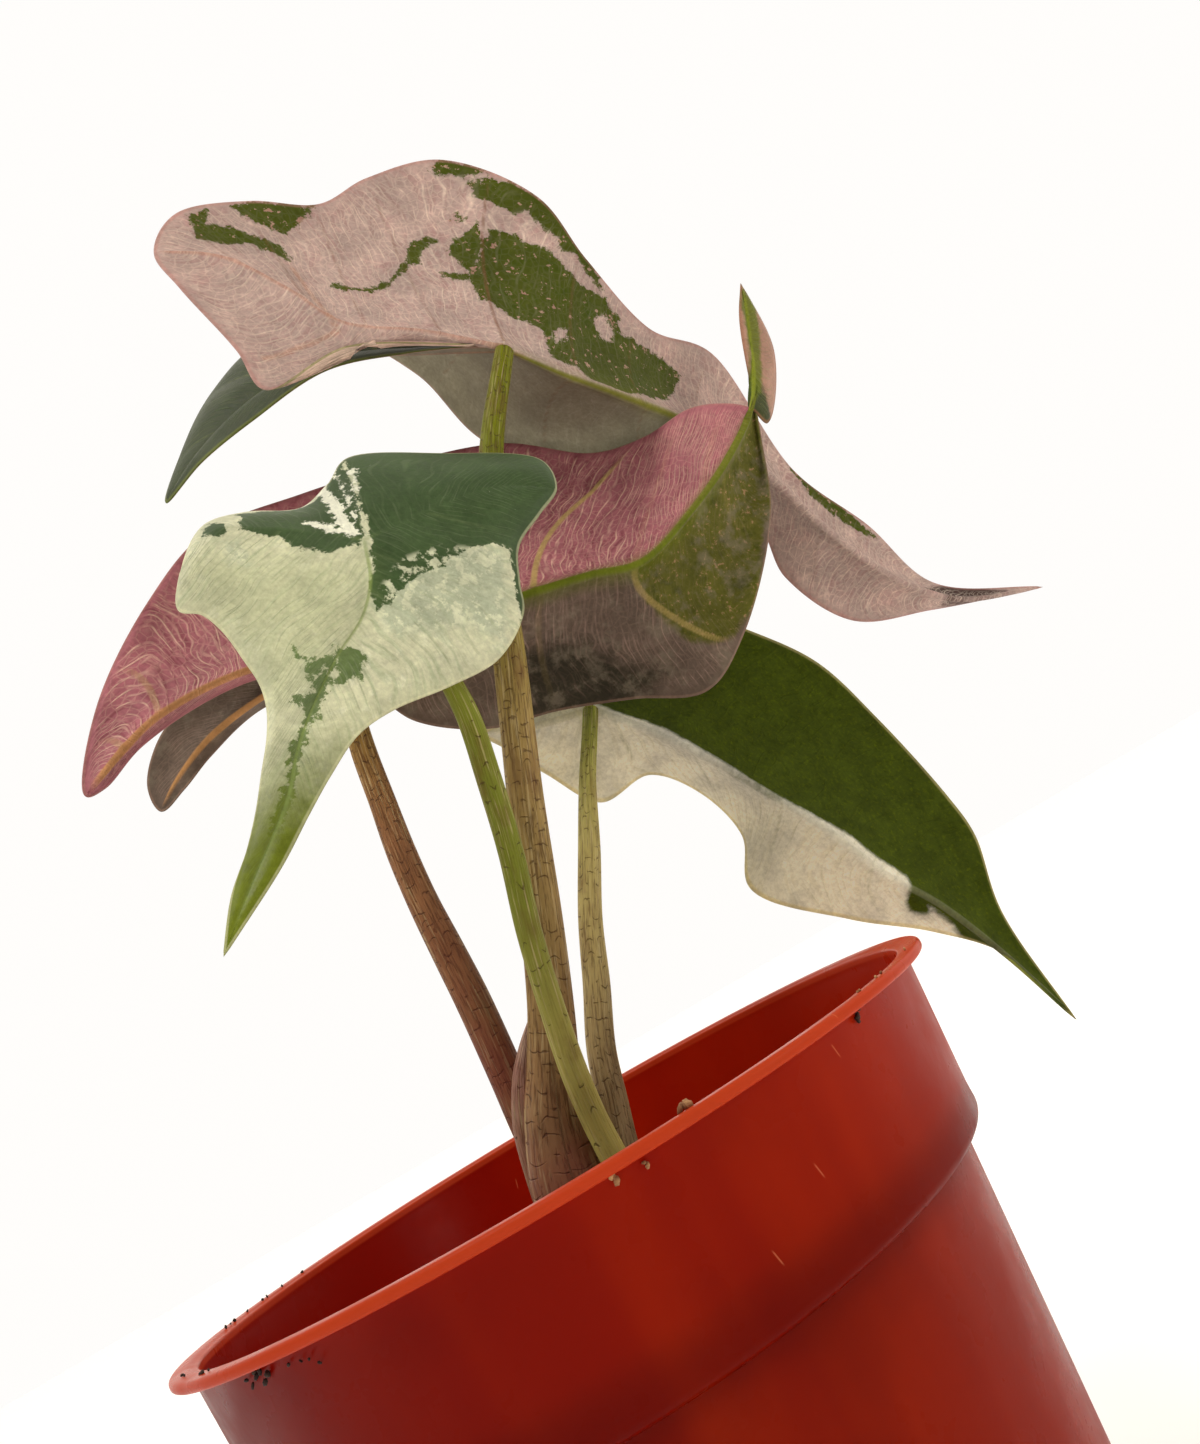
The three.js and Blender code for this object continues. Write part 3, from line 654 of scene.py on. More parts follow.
# Leaf stalks. Four fleshy petioles, each a tapering stem with fine ribs and short dark scars,
# that grow from the corm. The oldest widens at its foot into a sheath that wraps the others.
STALKS = {
    "top": {
        "path": [(-3.5, 1, 85.5), (-2.5, 1, 91.5), (-1.5, 1, 96.5), (0.5, 0, 103.5), (3, -1, 109.5),
                 (6.5, -2.5, 117), (11.5, -4.5, 129.5), (18, -6.5, 147), (27, -8, 170),
                 (33, -9, 186.5), (41.5, -8, 204), (53.6, -5, 222.6)],
        "radii": [6.8, 6.6, 6.3, 5.2, 4.1, 3.6, 3.3, 2.9, 2.7, 2.5, 2.1, 1.7],
    },
    "front": {
        "path": [(4, -1, 84.5), (4.5, -4, 92), (4.5, -6.5, 100), (5, -9, 107.5), (6.5, -11, 117.5),
                 (8.5, -13, 128), (11.5, -15, 139.5), (13.5, -17, 150), (15, -19, 159.5),
                 (15, -21, 166), (15, -23, 174.5), (14, -25, 182), (13.2, -26.3, 187.5)],
        "radii": [2.2, 2.1, 2.0, 2.0, 1.9, 1.9, 1.9, 1.9, 1.8, 1.6, 1.6, 1.5, 1.0],
    },
    "back": {
        "path": [(-4.5, 3, 94.5), (-4.5, 3.5, 103), (-4, 4, 112), (-3.5, 4, 124.5), (-3.5, 4, 133),
                 (-3.5, 4, 142), (-3, 4, 151), (-2, 3.5, 160), (-1, 3, 169), (0.5, 2.5, 177),
                 (1.7, 2.5, 182.5), (2.8, 3.8, 186.6)],
        "radii": [2.9, 2.8, 2.8, 2.8, 2.7, 2.5, 2.4, 2.2, 2.1, 1.9, 1.9, 1.8],
    },
    "right": {
        "path": [(5, 3, 86), (6.5, 5, 93), (8.5, 7, 99.5), (11, 9, 107.5), (15.5, 11, 117),
                 (20, 13.5, 127), (26, 16, 138), (32.5, 20, 150), (37.2, 22.8, 157.5),
                 (40.8, 25.8, 163.2)],
        "radii": [2.7, 2.6, 2.5, 2.4, 2.3, 2.1, 2.0, 1.6, 1.5, 1.5],
    },
}
SHEATH_FLARE = {
    "path": [(3.4, -0.6, 117.5), (0.5, 0.6, 114), (-2.3, 1.2, 109.5), (-4.6, 1.8, 103.5),
             (-5.6, 2, 97.5), (-6.5, 2, 91)],
    "radii": [0.2, 0.9, 1.7, 2.3, 2.7, 2.8],
}
STALK_SIDES = 120
STALK_RIBS = {"Ribs": 30, "Rib Height": 0.022 * MM}
STALK_STEPS = 10
STALK_LINES = srgb(74, 46, 26)
STALK_PALE = srgb(206, 188, 140)
STALK_BLOTCH = srgb(98, 62, 40)
STALK_DOTS = srgb(70, 40, 24)
STALK_SCAR = srgb(60, 32, 20)
STALK_FLUSH = srgb(112, 52, 44)


def curve(points, stations, before=None):
    """Points on a centripetal Catmull-Rom curve. A station counts the given points from 0, and
    the curve leaves the first one as if it came from before."""
    points = np.array(points, float)
    stations = np.asarray(stations, float)
    start = 2 * points[0] - points[1] if before is None else np.array(before, float)
    padded = np.vstack([start, points, 2 * points[-1] - points[-2]])
    whole = np.clip(np.floor(stations).astype(int), 0, len(points) - 2)
    t = (stations - whole)[:, None]
    a, b, c, d = (padded[whole + k] for k in range(4))
    before, gap, after = (
        np.linalg.norm(q - p, axis=1, keepdims=True) ** 0.5 for p, q in ((a, b), (b, c), (c, d)))
    leave = ((b - a) / before - (c - a) / (before + gap) + (c - b) / gap) * gap
    arrive = ((c - b) / gap - (d - b) / (gap + after) + (d - c) / after) * gap
    square, cube = 3 * (c - b) - 2 * leave - arrive, 2 * (b - c) + leave + arrive
    return b + leave * t + square * t ** 2 + cube * t ** 3


def stalk_tree():
    """A ribbed tube along a line of points, which carry its thickness. It stores the way round
    and the way along it, in millimetres, for the pattern of its skin."""
    tree, given, result = geometry_tree("ribbed_stalk", {
        "Sides": ("Int", 96), "Ribs": ("Int", 22), "Rib Height": ("Float", 0.00005),
        "Finish": ("Material", None)})
    thick = add_node(tree, "GeometryNodeInputNamedAttribute", {"Name": "thick"}, data_type="FLOAT")[0]
    line = add_node(tree, "GeometryNodeMeshToCurve", {"Mesh": given["Geometry"]})[0]
    parameter = add_node(tree, "GeometryNodeSplineParameter")
    kept_length = tree.nodes.new("GeometryNodeCaptureAttribute")
    kept_length.capture_items.new("FLOAT", "Length")
    tree.links.new(line, kept_length.inputs["Geometry"])
    tree.links.new(parameter["Length"], kept_length.inputs["Length"])
    ring = add_node(tree, "GeometryNodeCurvePrimitiveCircle", {
        "Resolution": given["Sides"], "Radius": 1.0}, mode="RADIUS")["Curve"]
    kept_turn = tree.nodes.new("GeometryNodeCaptureAttribute")
    kept_turn.capture_items.new("FLOAT", "Turn")
    tree.links.new(ring, kept_turn.inputs["Geometry"])
    tree.links.new(parameter["Factor"], kept_turn.inputs["Turn"])
    tube = add_node(tree, "GeometryNodeCurveToMesh", {
        "Curve": kept_length.outputs["Geometry"], "Profile Curve": kept_turn.outputs["Geometry"],
        "Scale": thick, "Fill Caps": True})
    angle = times(tree, kept_turn.outputs["Turn"], 2 * math.pi)
    wave = maths(tree, "COSINE", times(tree, angle, given["Ribs"]))
    height = times(tree, wave, given["Rib Height"])
    normal = add_node(tree, "GeometryNodeInputNormal")[0]
    push = add_node(tree, "ShaderNodeVectorMath", {0: normal, "Scale": height}, operation="SCALE")[0]
    ribbed = add_node(tree, "GeometryNodeSetPosition", {"Geometry": tube[0], "Offset": push})[0]
    stored_ways = {"turn": kept_turn.outputs["Turn"], "along": kept_length.outputs["Length"]}
    for label, value in stored_ways.items():
        ribbed = add_node(tree, "GeometryNodeStoreNamedAttribute", {
            "Geometry": ribbed, "Name": label, "Value": value}, data_type="FLOAT", domain="POINT")[0]
    real = add_node(tree, "GeometryNodeRealizeInstances", {0: ribbed})[0]
    finished = add_node(tree, "GeometryNodeSetMaterial", {
        "Geometry": real, "Material": given["Finish"]})[0]
    tree.links.new(finished, result["Geometry"])
    return tree


def stalk_finish(name, foot, middle, top, scars, red=0.0, streaky=0.6, green_from=150):
    """Stalk skin that goes from the foot's colour to the middle's and the top's, drawn with fine
    dark and pale lines and crossed by short curved scars. scars is the share of cells that have
    one, red how much the foot is flushed, and the top's colour starts at height green_from."""
    material, tree, shader = surface(name, {
        "Roughness": 0.5, "Specular IOR Level": 0.1, "Subsurface Weight": 0.15,
        "Subsurface Radius": (1.0, 0.7, 0.3), "Subsurface Scale": 1.2 * MM})
    place = object_mm(tree)
    height = xyz(tree, place)["Z"]
    turn = stored(tree, "turn")
    along = times(tree, stored(tree, "along"), 1 / MM)
    angle = times(tree, turn, 2 * math.pi)
    around = add_node(tree, "ShaderNodeCombineXYZ", {
        "X": times(tree, maths(tree, "COSINE", angle), 2.6),
        "Y": times(tree, maths(tree, "SINE", angle), 2.6), "Z": along})[0]
    colour = blend(tree, between(tree, height, 92, 135), foot, middle)
    colour = blend(tree, between(tree, height, green_from, green_from + 50), colour, top)
    stripes = grain(tree, around, 0.3, 3, 0.65, (1, 1, 0.06))
    lines = between(tree, stripes, 0.5, 0.62, 0.0, streaky)
    colour = blend(tree, lines, colour, STALK_LINES)
    pale = grain(tree, around, 0.45, 3, 0.6, (1, 1, 0.05))
    colour = blend(tree, between(tree, pale, 0.52, 0.7, 0.0, 0.4), colour, STALK_PALE)
    blotch = grain(tree, around, 4, 4, 0.6, (1, 1, 0.5))
    colour = blend(tree, between(tree, blotch, 0.48, 0.7, 0.0, 0.4), colour, STALK_BLOTCH)
    dots = between(tree, grain(tree, around, 0.7, 2, 0.5, (1, 1, 0.6)), 0.68, 0.74, 0.0, streaky)
    colour = blend(tree, dots, colour, STALK_DOTS)
    bent = maths(tree, "MULTIPLY_ADD", grain(tree, around, 1.3, 3), 1.6, along)
    tilted = add_node(tree, "ShaderNodeCombineXYZ", {
        "X": times(tree, turn, 8), "Y": times(tree, bent, 0.4)})[0]
    away, drawn = strokes(tree, tilted, 1.0)
    arch = times(tree, away["X"], away["X"], maths(tree, "MULTIPLY_ADD", drawn[1], 5, -2.5))
    from_arch = maths(tree, "ABSOLUTE", maths(tree, "ADD", away["Y"], arch))
    thin = between(tree, from_arch, 0.015, 0.075, 1.0, 0.0)
    wide = between(tree, maths(tree, "ABSOLUTE", away["X"]), 0.2, 0.46, 1.0, 0.0)
    scar = times(tree, thin, wide, maths(tree, "GREATER_THAN", drawn[0], 1 - scars))
    colour = blend(tree, times(tree, scar, 0.6), colour, STALK_SCAR)
    if red:
        flushed = between(tree, grain(tree, place, 16, 2), 0.42, 0.62, 0.0, red)
        low = between(tree, height, 98, 150, 1.0, 0.0)
        colour = blend(tree, times(tree, flushed, low), colour, STALK_FLUSH)
    tree.links.new(colour, shader.inputs["Base Color"])
    relief = maths(tree, "MULTIPLY_ADD", scar, -1.2, times(tree, lines, -1.0))
    bump(tree, shader, relief, 0.1 * MM)
    return material


def store(mesh, label, values):
    """Gives the mesh a value at each of its points."""
    layer = mesh.attributes.new(label, "FLOAT", "POINT")
    layer.data.foreach_set("value", np.asarray(values).astype(np.float32))


def stalk_piece(name, path, radii, finish):
    stations = np.linspace(0, len(path) - 1, (len(path) - 1) * STALK_STEPS + 1)
    points = curve(path, stations)
    thick = curve([(i, r, 0) for i, r in enumerate(radii)], stations)[:, 1]
    mesh = bpy.data.meshes.new(name)
    lines = [(i, i + 1) for i in range(len(points) - 1)]
    mesh.from_pydata([tuple(p) for p in points * MM], lines, [])
    store(mesh, "thick", thick * MM)
    piece = new_object(name, mesh)
    grow(piece, ribbed_stalk, {"Sides": STALK_SIDES, "Finish": finish, **STALK_RIBS})
    piece.data.shade_smooth()
    return piece


ribbed_stalk = stalk_tree()
STALK_FINISHES = {
    "top": stalk_finish(
        "top_stalk_skin", srgb(132, 96, 68), srgb(146, 122, 72), srgb(98, 102, 4), scars=0.7, red=0.5),
    "front": stalk_finish(
        "front_stalk_skin", srgb(190, 178, 100), srgb(110, 116, 36), srgb(118, 126, 40), scars=0.25,
        streaky=0.2),
    "back": stalk_finish(
        "back_stalk_skin", srgb(122, 76, 52), srgb(128, 88, 58), srgb(134, 120, 40), scars=0.75,
        red=0.7),
    "right": stalk_finish(
        "right_stalk_skin", srgb(146, 122, 88), srgb(174, 158, 98), srgb(126, 140, 32), scars=0.65,
        streaky=0.5, green_from=128),
}
SHEATH_PALE = srgb(200, 170, 156)
SHEATH_FINISH = stalk_finish(
    "sheath_skin", srgb(130, 92, 68), SHEATH_PALE, SHEATH_PALE, scars=0.2, red=0.6)


def join(pieces):
    """One mesh from several, kept as the first piece, with each of their finishes once."""
    finishes = []
    shape = bmesh.new()
    for piece in pieces:
        finish = piece.data.materials[0]
        if finish not in finishes:
            finishes.append(finish)
        before = len(shape.faces)
        shape.from_mesh(piece.data)
        shape.faces.ensure_lookup_table()
        for face in shape.faces[before:]:
            face.material_index = finishes.index(finish)
    shape.to_mesh(pieces[0].data)
    shape.free()
    for finish in finishes[1:]:
        pieces[0].data.materials.append(finish)
    for piece in pieces[1:]:
        bpy.data.objects.remove(piece)
    return pieces[0]


for name, shape in STALKS.items():
    stalk = stalk_piece(name + "_stalk", shape["path"], shape["radii"], STALK_FINISHES[name])
    if name == "top":
        flare = stalk_piece("sheath_flare", SHEATH_FLARE["path"], SHEATH_FLARE["radii"], SHEATH_FINISH)
        stalk = join([stalk, flare])
    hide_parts(name + "_petiole")
    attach(stalk, "root")

# Top leaf. A thin, leathery, arrow-shaped blade that grows from the top of the oldest stalk and
# arches over, pinched along its midrib. Its underside shows: rosy cream where the plant has made
# no green, with green blots, and a far half painted grey-olive, partly its own duller colour and
# partly painted shade.
LEAF_CLOUD = {"dark": 0.86, "light": 1.1}
LEAF_SPECK = {"dark": 0.84, "light": 1.12}
LEAF_RELIEF = 0.12
BLADE_THICK = 0.75
EDGE_THICK = 0.3
NO_VEIN_NEAR = 50.0
FAR_OUTSIDE = -30.0
USUAL_BOLDNESS = 0.45
SPINE_RIB_WIDTH = 1.2
SIDE_RIB_WIDTH = 0.8
SWELL_WIDTH = 3.5
EDGE_TAPER = 1.6
GROOVE = 0.35
NEAR_STATION = 0.3
WELD_PLACES = 3
TOP_LEAF = {
    "bow": 0.07,
    "blunt": 1.0,
    "midrib": [(54, -5, 223), (61.5, -2, 216), (73, 6, 210.5), (88, 18, 203.5), (99.5, 27, 191),
               (108.5, 34, 174), (119, 40, 160), (131, 45, 152), (153, 50, 146.5)],
    "sinus": (53, -5, 224.5),
    "right": {
        "costa": [(6, -12, 263), (16, -11, 257.5), (23.5, -10, 247.5), (29.5, -9, 237.5),
                  (42, -7, 231)],
        "outer": [(13.5, -8, 273), (26.5, -4, 273.5), (38.5, 0, 271), (50, 2, 274.5), (66, 4, 274),
                  (79.5, 5, 258.5), (82.5, 8, 243), (90, 17, 228.5), (104.5, 28, 223), (110, 37, 194),
                  (121, 43, 176.5), (128.5, 47, 159)],
        "inner": [(7, -14, 252.5), (10.5, -15, 236), (11.5, -14, 228), (28.5, -9, 233)],
        "laterals": [(1.2, 0.7, 1.4), (2.3, 1.8, 1.4), (3.3, 2.9, 1.4), (4.2, 4.0, 1.4),
                      (5.0, 5.5, 1.2, 1.0), (6.3, 6.9, 1.5), (7.2, 7.9, 1.6), (8.1, 9.0, 1.6),
                      (9.2, 10.1, 1.6), (10.4, 11.2, 1.6)],
    },
    "left": {
        "costa": [(-12.5, 14, 233.5), (-1.5, 15, 242), (14.5, 13, 247), (30, 9, 244), (43.5, 3, 234)],
        "outer": [(-7.5, 21, 245.5), (4, 28, 261.5), (19, 33, 272), (35.5, 36, 269), (46.5, 36, 252.5),
                  (51, 35, 232), (62, 35, 214.5), (78, 38, 197.5), (97.5, 41, 188.5), (97.5, 43, 174.5),
                  (106, 45, 159.5), (125.5, 48, 153.5)],
        "inner": [(-3.5, 11, 236.5), (8.5, 8, 238.5), (24.5, 4, 239.5), (39.5, -1, 232.5)],
        "laterals": [(1.2, 0.7, 1.4), (2.3, 1.8, 1.4), (3.4, 2.9, 1.4), (4.9, 5.3, 1.3),
                      (6.2, 6.9, 1.5), (7.3, 8.2, 1.6), (8.5, 9.4, 1.6), (9.8, 10.6, 1.6)],
    },
}


def smoothstep(low, high, value):
    t = np.clip((value - low) / (high - low), 0, 1)
    return t * t * (3 - 2 * t)


def leaf_strips(leaf, fine, wide, narrow):
    """The four strips of a blade's middle sheet: from its costa and midrib out to the outer
    margin, and from its costa in to the notch between the back lobes, on the left and right."""
    midrib = leaf["midrib"]
    to_tip = len(midrib) - 1
    for name in ("left", "right"):
        side = leaf[name]
        back = len(side["costa"])
        costa = [*side["costa"], midrib[0]]
        corner = np.array(side["costa"][0])

        def spine(u):
            on_costa = curve(costa, np.minimum(u, back))
            return np.where((u <= back)[:, None], on_costa, curve(midrib, np.maximum(u - back, 0)))

        measured = np.linspace(0, back + to_tip, 400)
        steps = np.linalg.norm(np.diff(spine(measured), axis=0), axis=1)
        reached = np.concatenate([[0], np.cumsum(steps)])
        edges = {
            "outer": ([corner, *side["outer"], midrib[-1]], back + to_tip, wide, side["inner"][0]),
            "inner": ([corner, *side["inner"], leaf["sinus"]], back, narrow, side["outer"][0]),
        }
        for kind, (edge, last, columns, round_from) in edges.items():
            u = np.linspace(0, last, last * fine + 1)
            v = np.linspace(0, 1, columns + 1)[None, :]
            root = spine(u)
            blunt = corner + leaf["blunt"] * (np.array(round_from) - corner)
            across = curve(edge, u, blunt) - root
            ahead = spine(np.minimum(u + NEAR_STATION, last)) - spine(np.maximum(u - NEAR_STATION, 0))
            flip = (name == "right") == (kind == "outer")
            up = np.cross(ahead, across) * (-1 if flip else 1)
            up /= np.linalg.norm(up, axis=1, keepdims=True) + 1e-9
            width = np.linalg.norm(across, axis=1)
            bow = leaf["bow"] * width
            if kind == "inner":
                bow = bow * smoothstep(0, 0.6, back - u)
            lift = (4 * v * (1 - v)) * bow[:, None]
            points = root[:, None] + across[:, None] * v[:, :, None] + up[:, None] * lift[:, :, None]
            run = np.interp(u, measured, reached) - np.interp(back, measured, reached)
            yield name, kind, flip, u, v, points, width, run


def lateral_distance(side, u, v, points):
    """Millimetres from each point of a strip to the nearest side vein, and that vein's boldness.
    A side vein has the stations where it leaves the midrib and where it ends at the margin, how
    it bends between them, and its boldness where that isn't the usual one."""
    along = np.gradient(points, u, axis=0)
    outward = np.gradient(points, v[0], axis=1)
    nearest = np.full(points.shape[:2], NO_VEIN_NEAR)
    bold = np.zeros(points.shape[:2])
    for start, end, bend, *own in side["laterals"]:
        station = start + (end - start) * v ** bend
        slope = (end - start) * bend * np.maximum(v, 1e-3) ** (bend - 1)
        tangent = along * slope[:, :, None] + outward
        tangent /= np.linalg.norm(tangent, axis=2, keepdims=True) + 1e-9
        apart = np.abs(u[:, None] - station) * np.linalg.norm(np.cross(along, tangent), axis=2)
        bold = np.where(apart < nearest, own[0] if own else USUAL_BOLDNESS, bold)
        nearest = np.minimum(nearest, apart)
    return nearest, bold


def from_stretch(x, z, start, end):
    """Millimetres from each point to a straight stretch between two points."""
    (ax, az), (bx, bz) = start, end
    length = (bx - ax) ** 2 + (bz - az) ** 2 + 1e-9
    t = np.clip(((x - ax) * (bx - ax) + (z - az) * (bz - az)) / length, 0, 1)
    return np.hypot(x - ax - t * (bx - ax), z - az - t * (bz - az))


def inside_by(outline, x, z):
    """Millimetres that each point lies inside an outline, or minus how far outside it."""
    corners = np.array(outline, float)
    nearest = np.full(x.shape, np.inf)
    inside = np.zeros(x.shape, bool)
    for (ax, az), (bx, bz) in zip(corners, np.roll(corners, -1, axis=0)):
        nearest = np.minimum(nearest, from_stretch(x, z, (ax, az), (bx, bz)))
        inside ^= ((az > z) != (bz > z)) & (x < (bx - ax) * (z - az) / (bz - az + 1e-12) + ax)
    return np.where(inside, nearest, -nearest)


def near_line(line, half_width, x, z):
    """Like inside_by, for a band along an open line of points."""
    stretches = [from_stretch(x, z, start, end) for start, end in zip(line, line[1:])]
    return half_width - np.minimum.reduce(stretches)


def leaf_piece(name, leaf, patches, fine, wide, narrow, lean, puff, vein, finishes):
    """A blade as a closed thin solid. patches are marks painted by the finishes, each a function
    of side, x and z that says how far inside the mark a point is. lean is how far fine veins
    arch towards the tip, puff how far the sheet swells between veins, vein how high veins stand."""
    layers = ["spine", "margin", "lateral", "bold", "strand", "run", "side", *patches]
    points, faces, values, count = [], [], [], 0
    for side, kind, flip, u, v, grid, width, run in leaf_strips(leaf, fine, wide, narrow):
        rows, columns = grid.shape[:2]
        share = np.repeat(v, rows, axis=0)
        x, z = grid[:, :, 0], grid[:, :, 2]
        lateral, bold = np.full(share.shape, NO_VEIN_NEAR), np.zeros(share.shape)
        if kind == "outer":
            lateral, bold = lateral_distance(leaf[side], u, v, grid)
        strand = run[:, None] - lean * share ** 1.7 * np.tanh(run / 15)[:, None]
        stack = [
            share * width[:, None], (1 - share) * width[:, None], lateral, bold, strand,
            np.repeat(run[:, None], columns, axis=1),
            np.full(share.shape, 1.0 if side == "right" else -1.0),
            *(mark(side, x, z) for mark in patches.values())]
        index = np.arange(rows * columns).reshape(rows, columns) + count
        quads = np.stack([index[:-1, :-1], index[1:, :-1], index[1:, 1:], index[:-1, 1:]], axis=-1)
        quads = quads.reshape(-1, 4)
        points.append(grid.reshape(-1, 3))
        faces.append(quads[:, ::-1] if flip else quads)
        values.append(np.stack(stack, axis=-1).reshape(-1, len(layers)))
        count += rows * columns
    points, faces, values = np.concatenate(points), np.concatenate(faces), np.concatenate(values)
    _, first, merged = np.unique(
        np.round(points, WELD_PLACES), axis=0, return_index=True, return_inverse=True)
    merged = merged.reshape(-1)
    points = points[first]
    summed = np.zeros((len(points), len(layers)))
    np.add.at(summed, merged, values)
    values = summed / np.bincount(merged)[:, None]
    faces = [list(dict.fromkeys(face)) for face in merged[faces].tolist()]
    faces = [face for face in faces if len(face) > 2]

    normals = np.zeros_like(points)
    for face in faces:
        a, b, c = points[face[0]], points[face[1]], points[face[2]]
        n = np.cross(b - a, c - a)
        for corner in face:
            normals[corner] += n
    normals /= np.linalg.norm(normals, axis=1, keepdims=True) + 1e-12
    value = dict(zip(layers, values.T))
    spine_rib = vein["costa"] + (vein["midrib"] - vein["costa"]) * smoothstep(-4, 4, value["run"])
    rib = spine_rib * np.exp(-(value["spine"] / SPINE_RIB_WIDTH) ** 2)
    rib *= smoothstep(-2, 14, value["margin"])
    side_rib = vein["lateral"] * value["bold"] * np.exp(-(value["lateral"] / SIDE_RIB_WIDTH) ** 2)
    side_rib *= smoothstep(0, 7, value["margin"])
    groove = GROOVE * spine_rib * np.exp(-(value["spine"] / SIDE_RIB_WIDTH) ** 2) + GROOVE * side_rib
    swell = puff * (1 - np.exp(-(value["lateral"] / SWELL_WIDTH) ** 2))
    swell *= smoothstep(0, 6, value["spine"])
    swell *= smoothstep(0, 8, value["margin"])
    full = smoothstep(0, EDGE_TAPER, value["margin"])
    half = 0.5 * (EDGE_THICK + (BLADE_THICK - EDGE_THICK) * full)
    above = points + normals * (half + swell - groove)[:, None]
    below = points - normals * (half - swell + rib + side_rib)[:, None]

    edges = dict.fromkeys((a, b) for face in faces for a, b in zip(face, face[1:] + face[:1]))
    rim = [(a, b) for a, b in edges if (b, a) not in edges]
    outward = np.zeros_like(points)
    for a, b in rim:
        out = np.cross(points[b] - points[a], normals[a])
        out /= np.linalg.norm(out) + 1e-12
        outward[a] += out
        outward[b] += out
    on_rim = sorted({a for edge in rim for a in edge})
    rim_index = {a: i for i, a in enumerate(on_rim)}
    outward = outward[on_rim] / (np.linalg.norm(outward[on_rim], axis=1, keepdims=True) + 1e-12)
    middle = (above[on_rim] + below[on_rim]) / 2 + outward * EDGE_THICK / 2
    total = len(points)
    all_faces = list(faces) + [[corner + total for corner in reversed(face)] for face in faces]
    for a, b in rim:
        i, j = 2 * total + rim_index[a], 2 * total + rim_index[b]
        all_faces += [[b, a, i, j], [j, i, a + total, b + total]]
    mesh = mesh_from(name, np.concatenate([above, below, middle]), all_faces)
    under = np.zeros(len(all_faces), np.int32)
    under[len(faces):2 * len(faces)] = 1
    under[2 * len(faces) + 1::2] = 1
    for finish in finishes:
        mesh.materials.append(finish)
    mesh.polygons.foreach_set("material_index", under)
    for i, layer in enumerate(layers):
        store(mesh, layer, np.concatenate([values[:, i], values[:, i], values[on_rim, i]]))
    mesh.shade_smooth()
    return new_object(name, mesh)


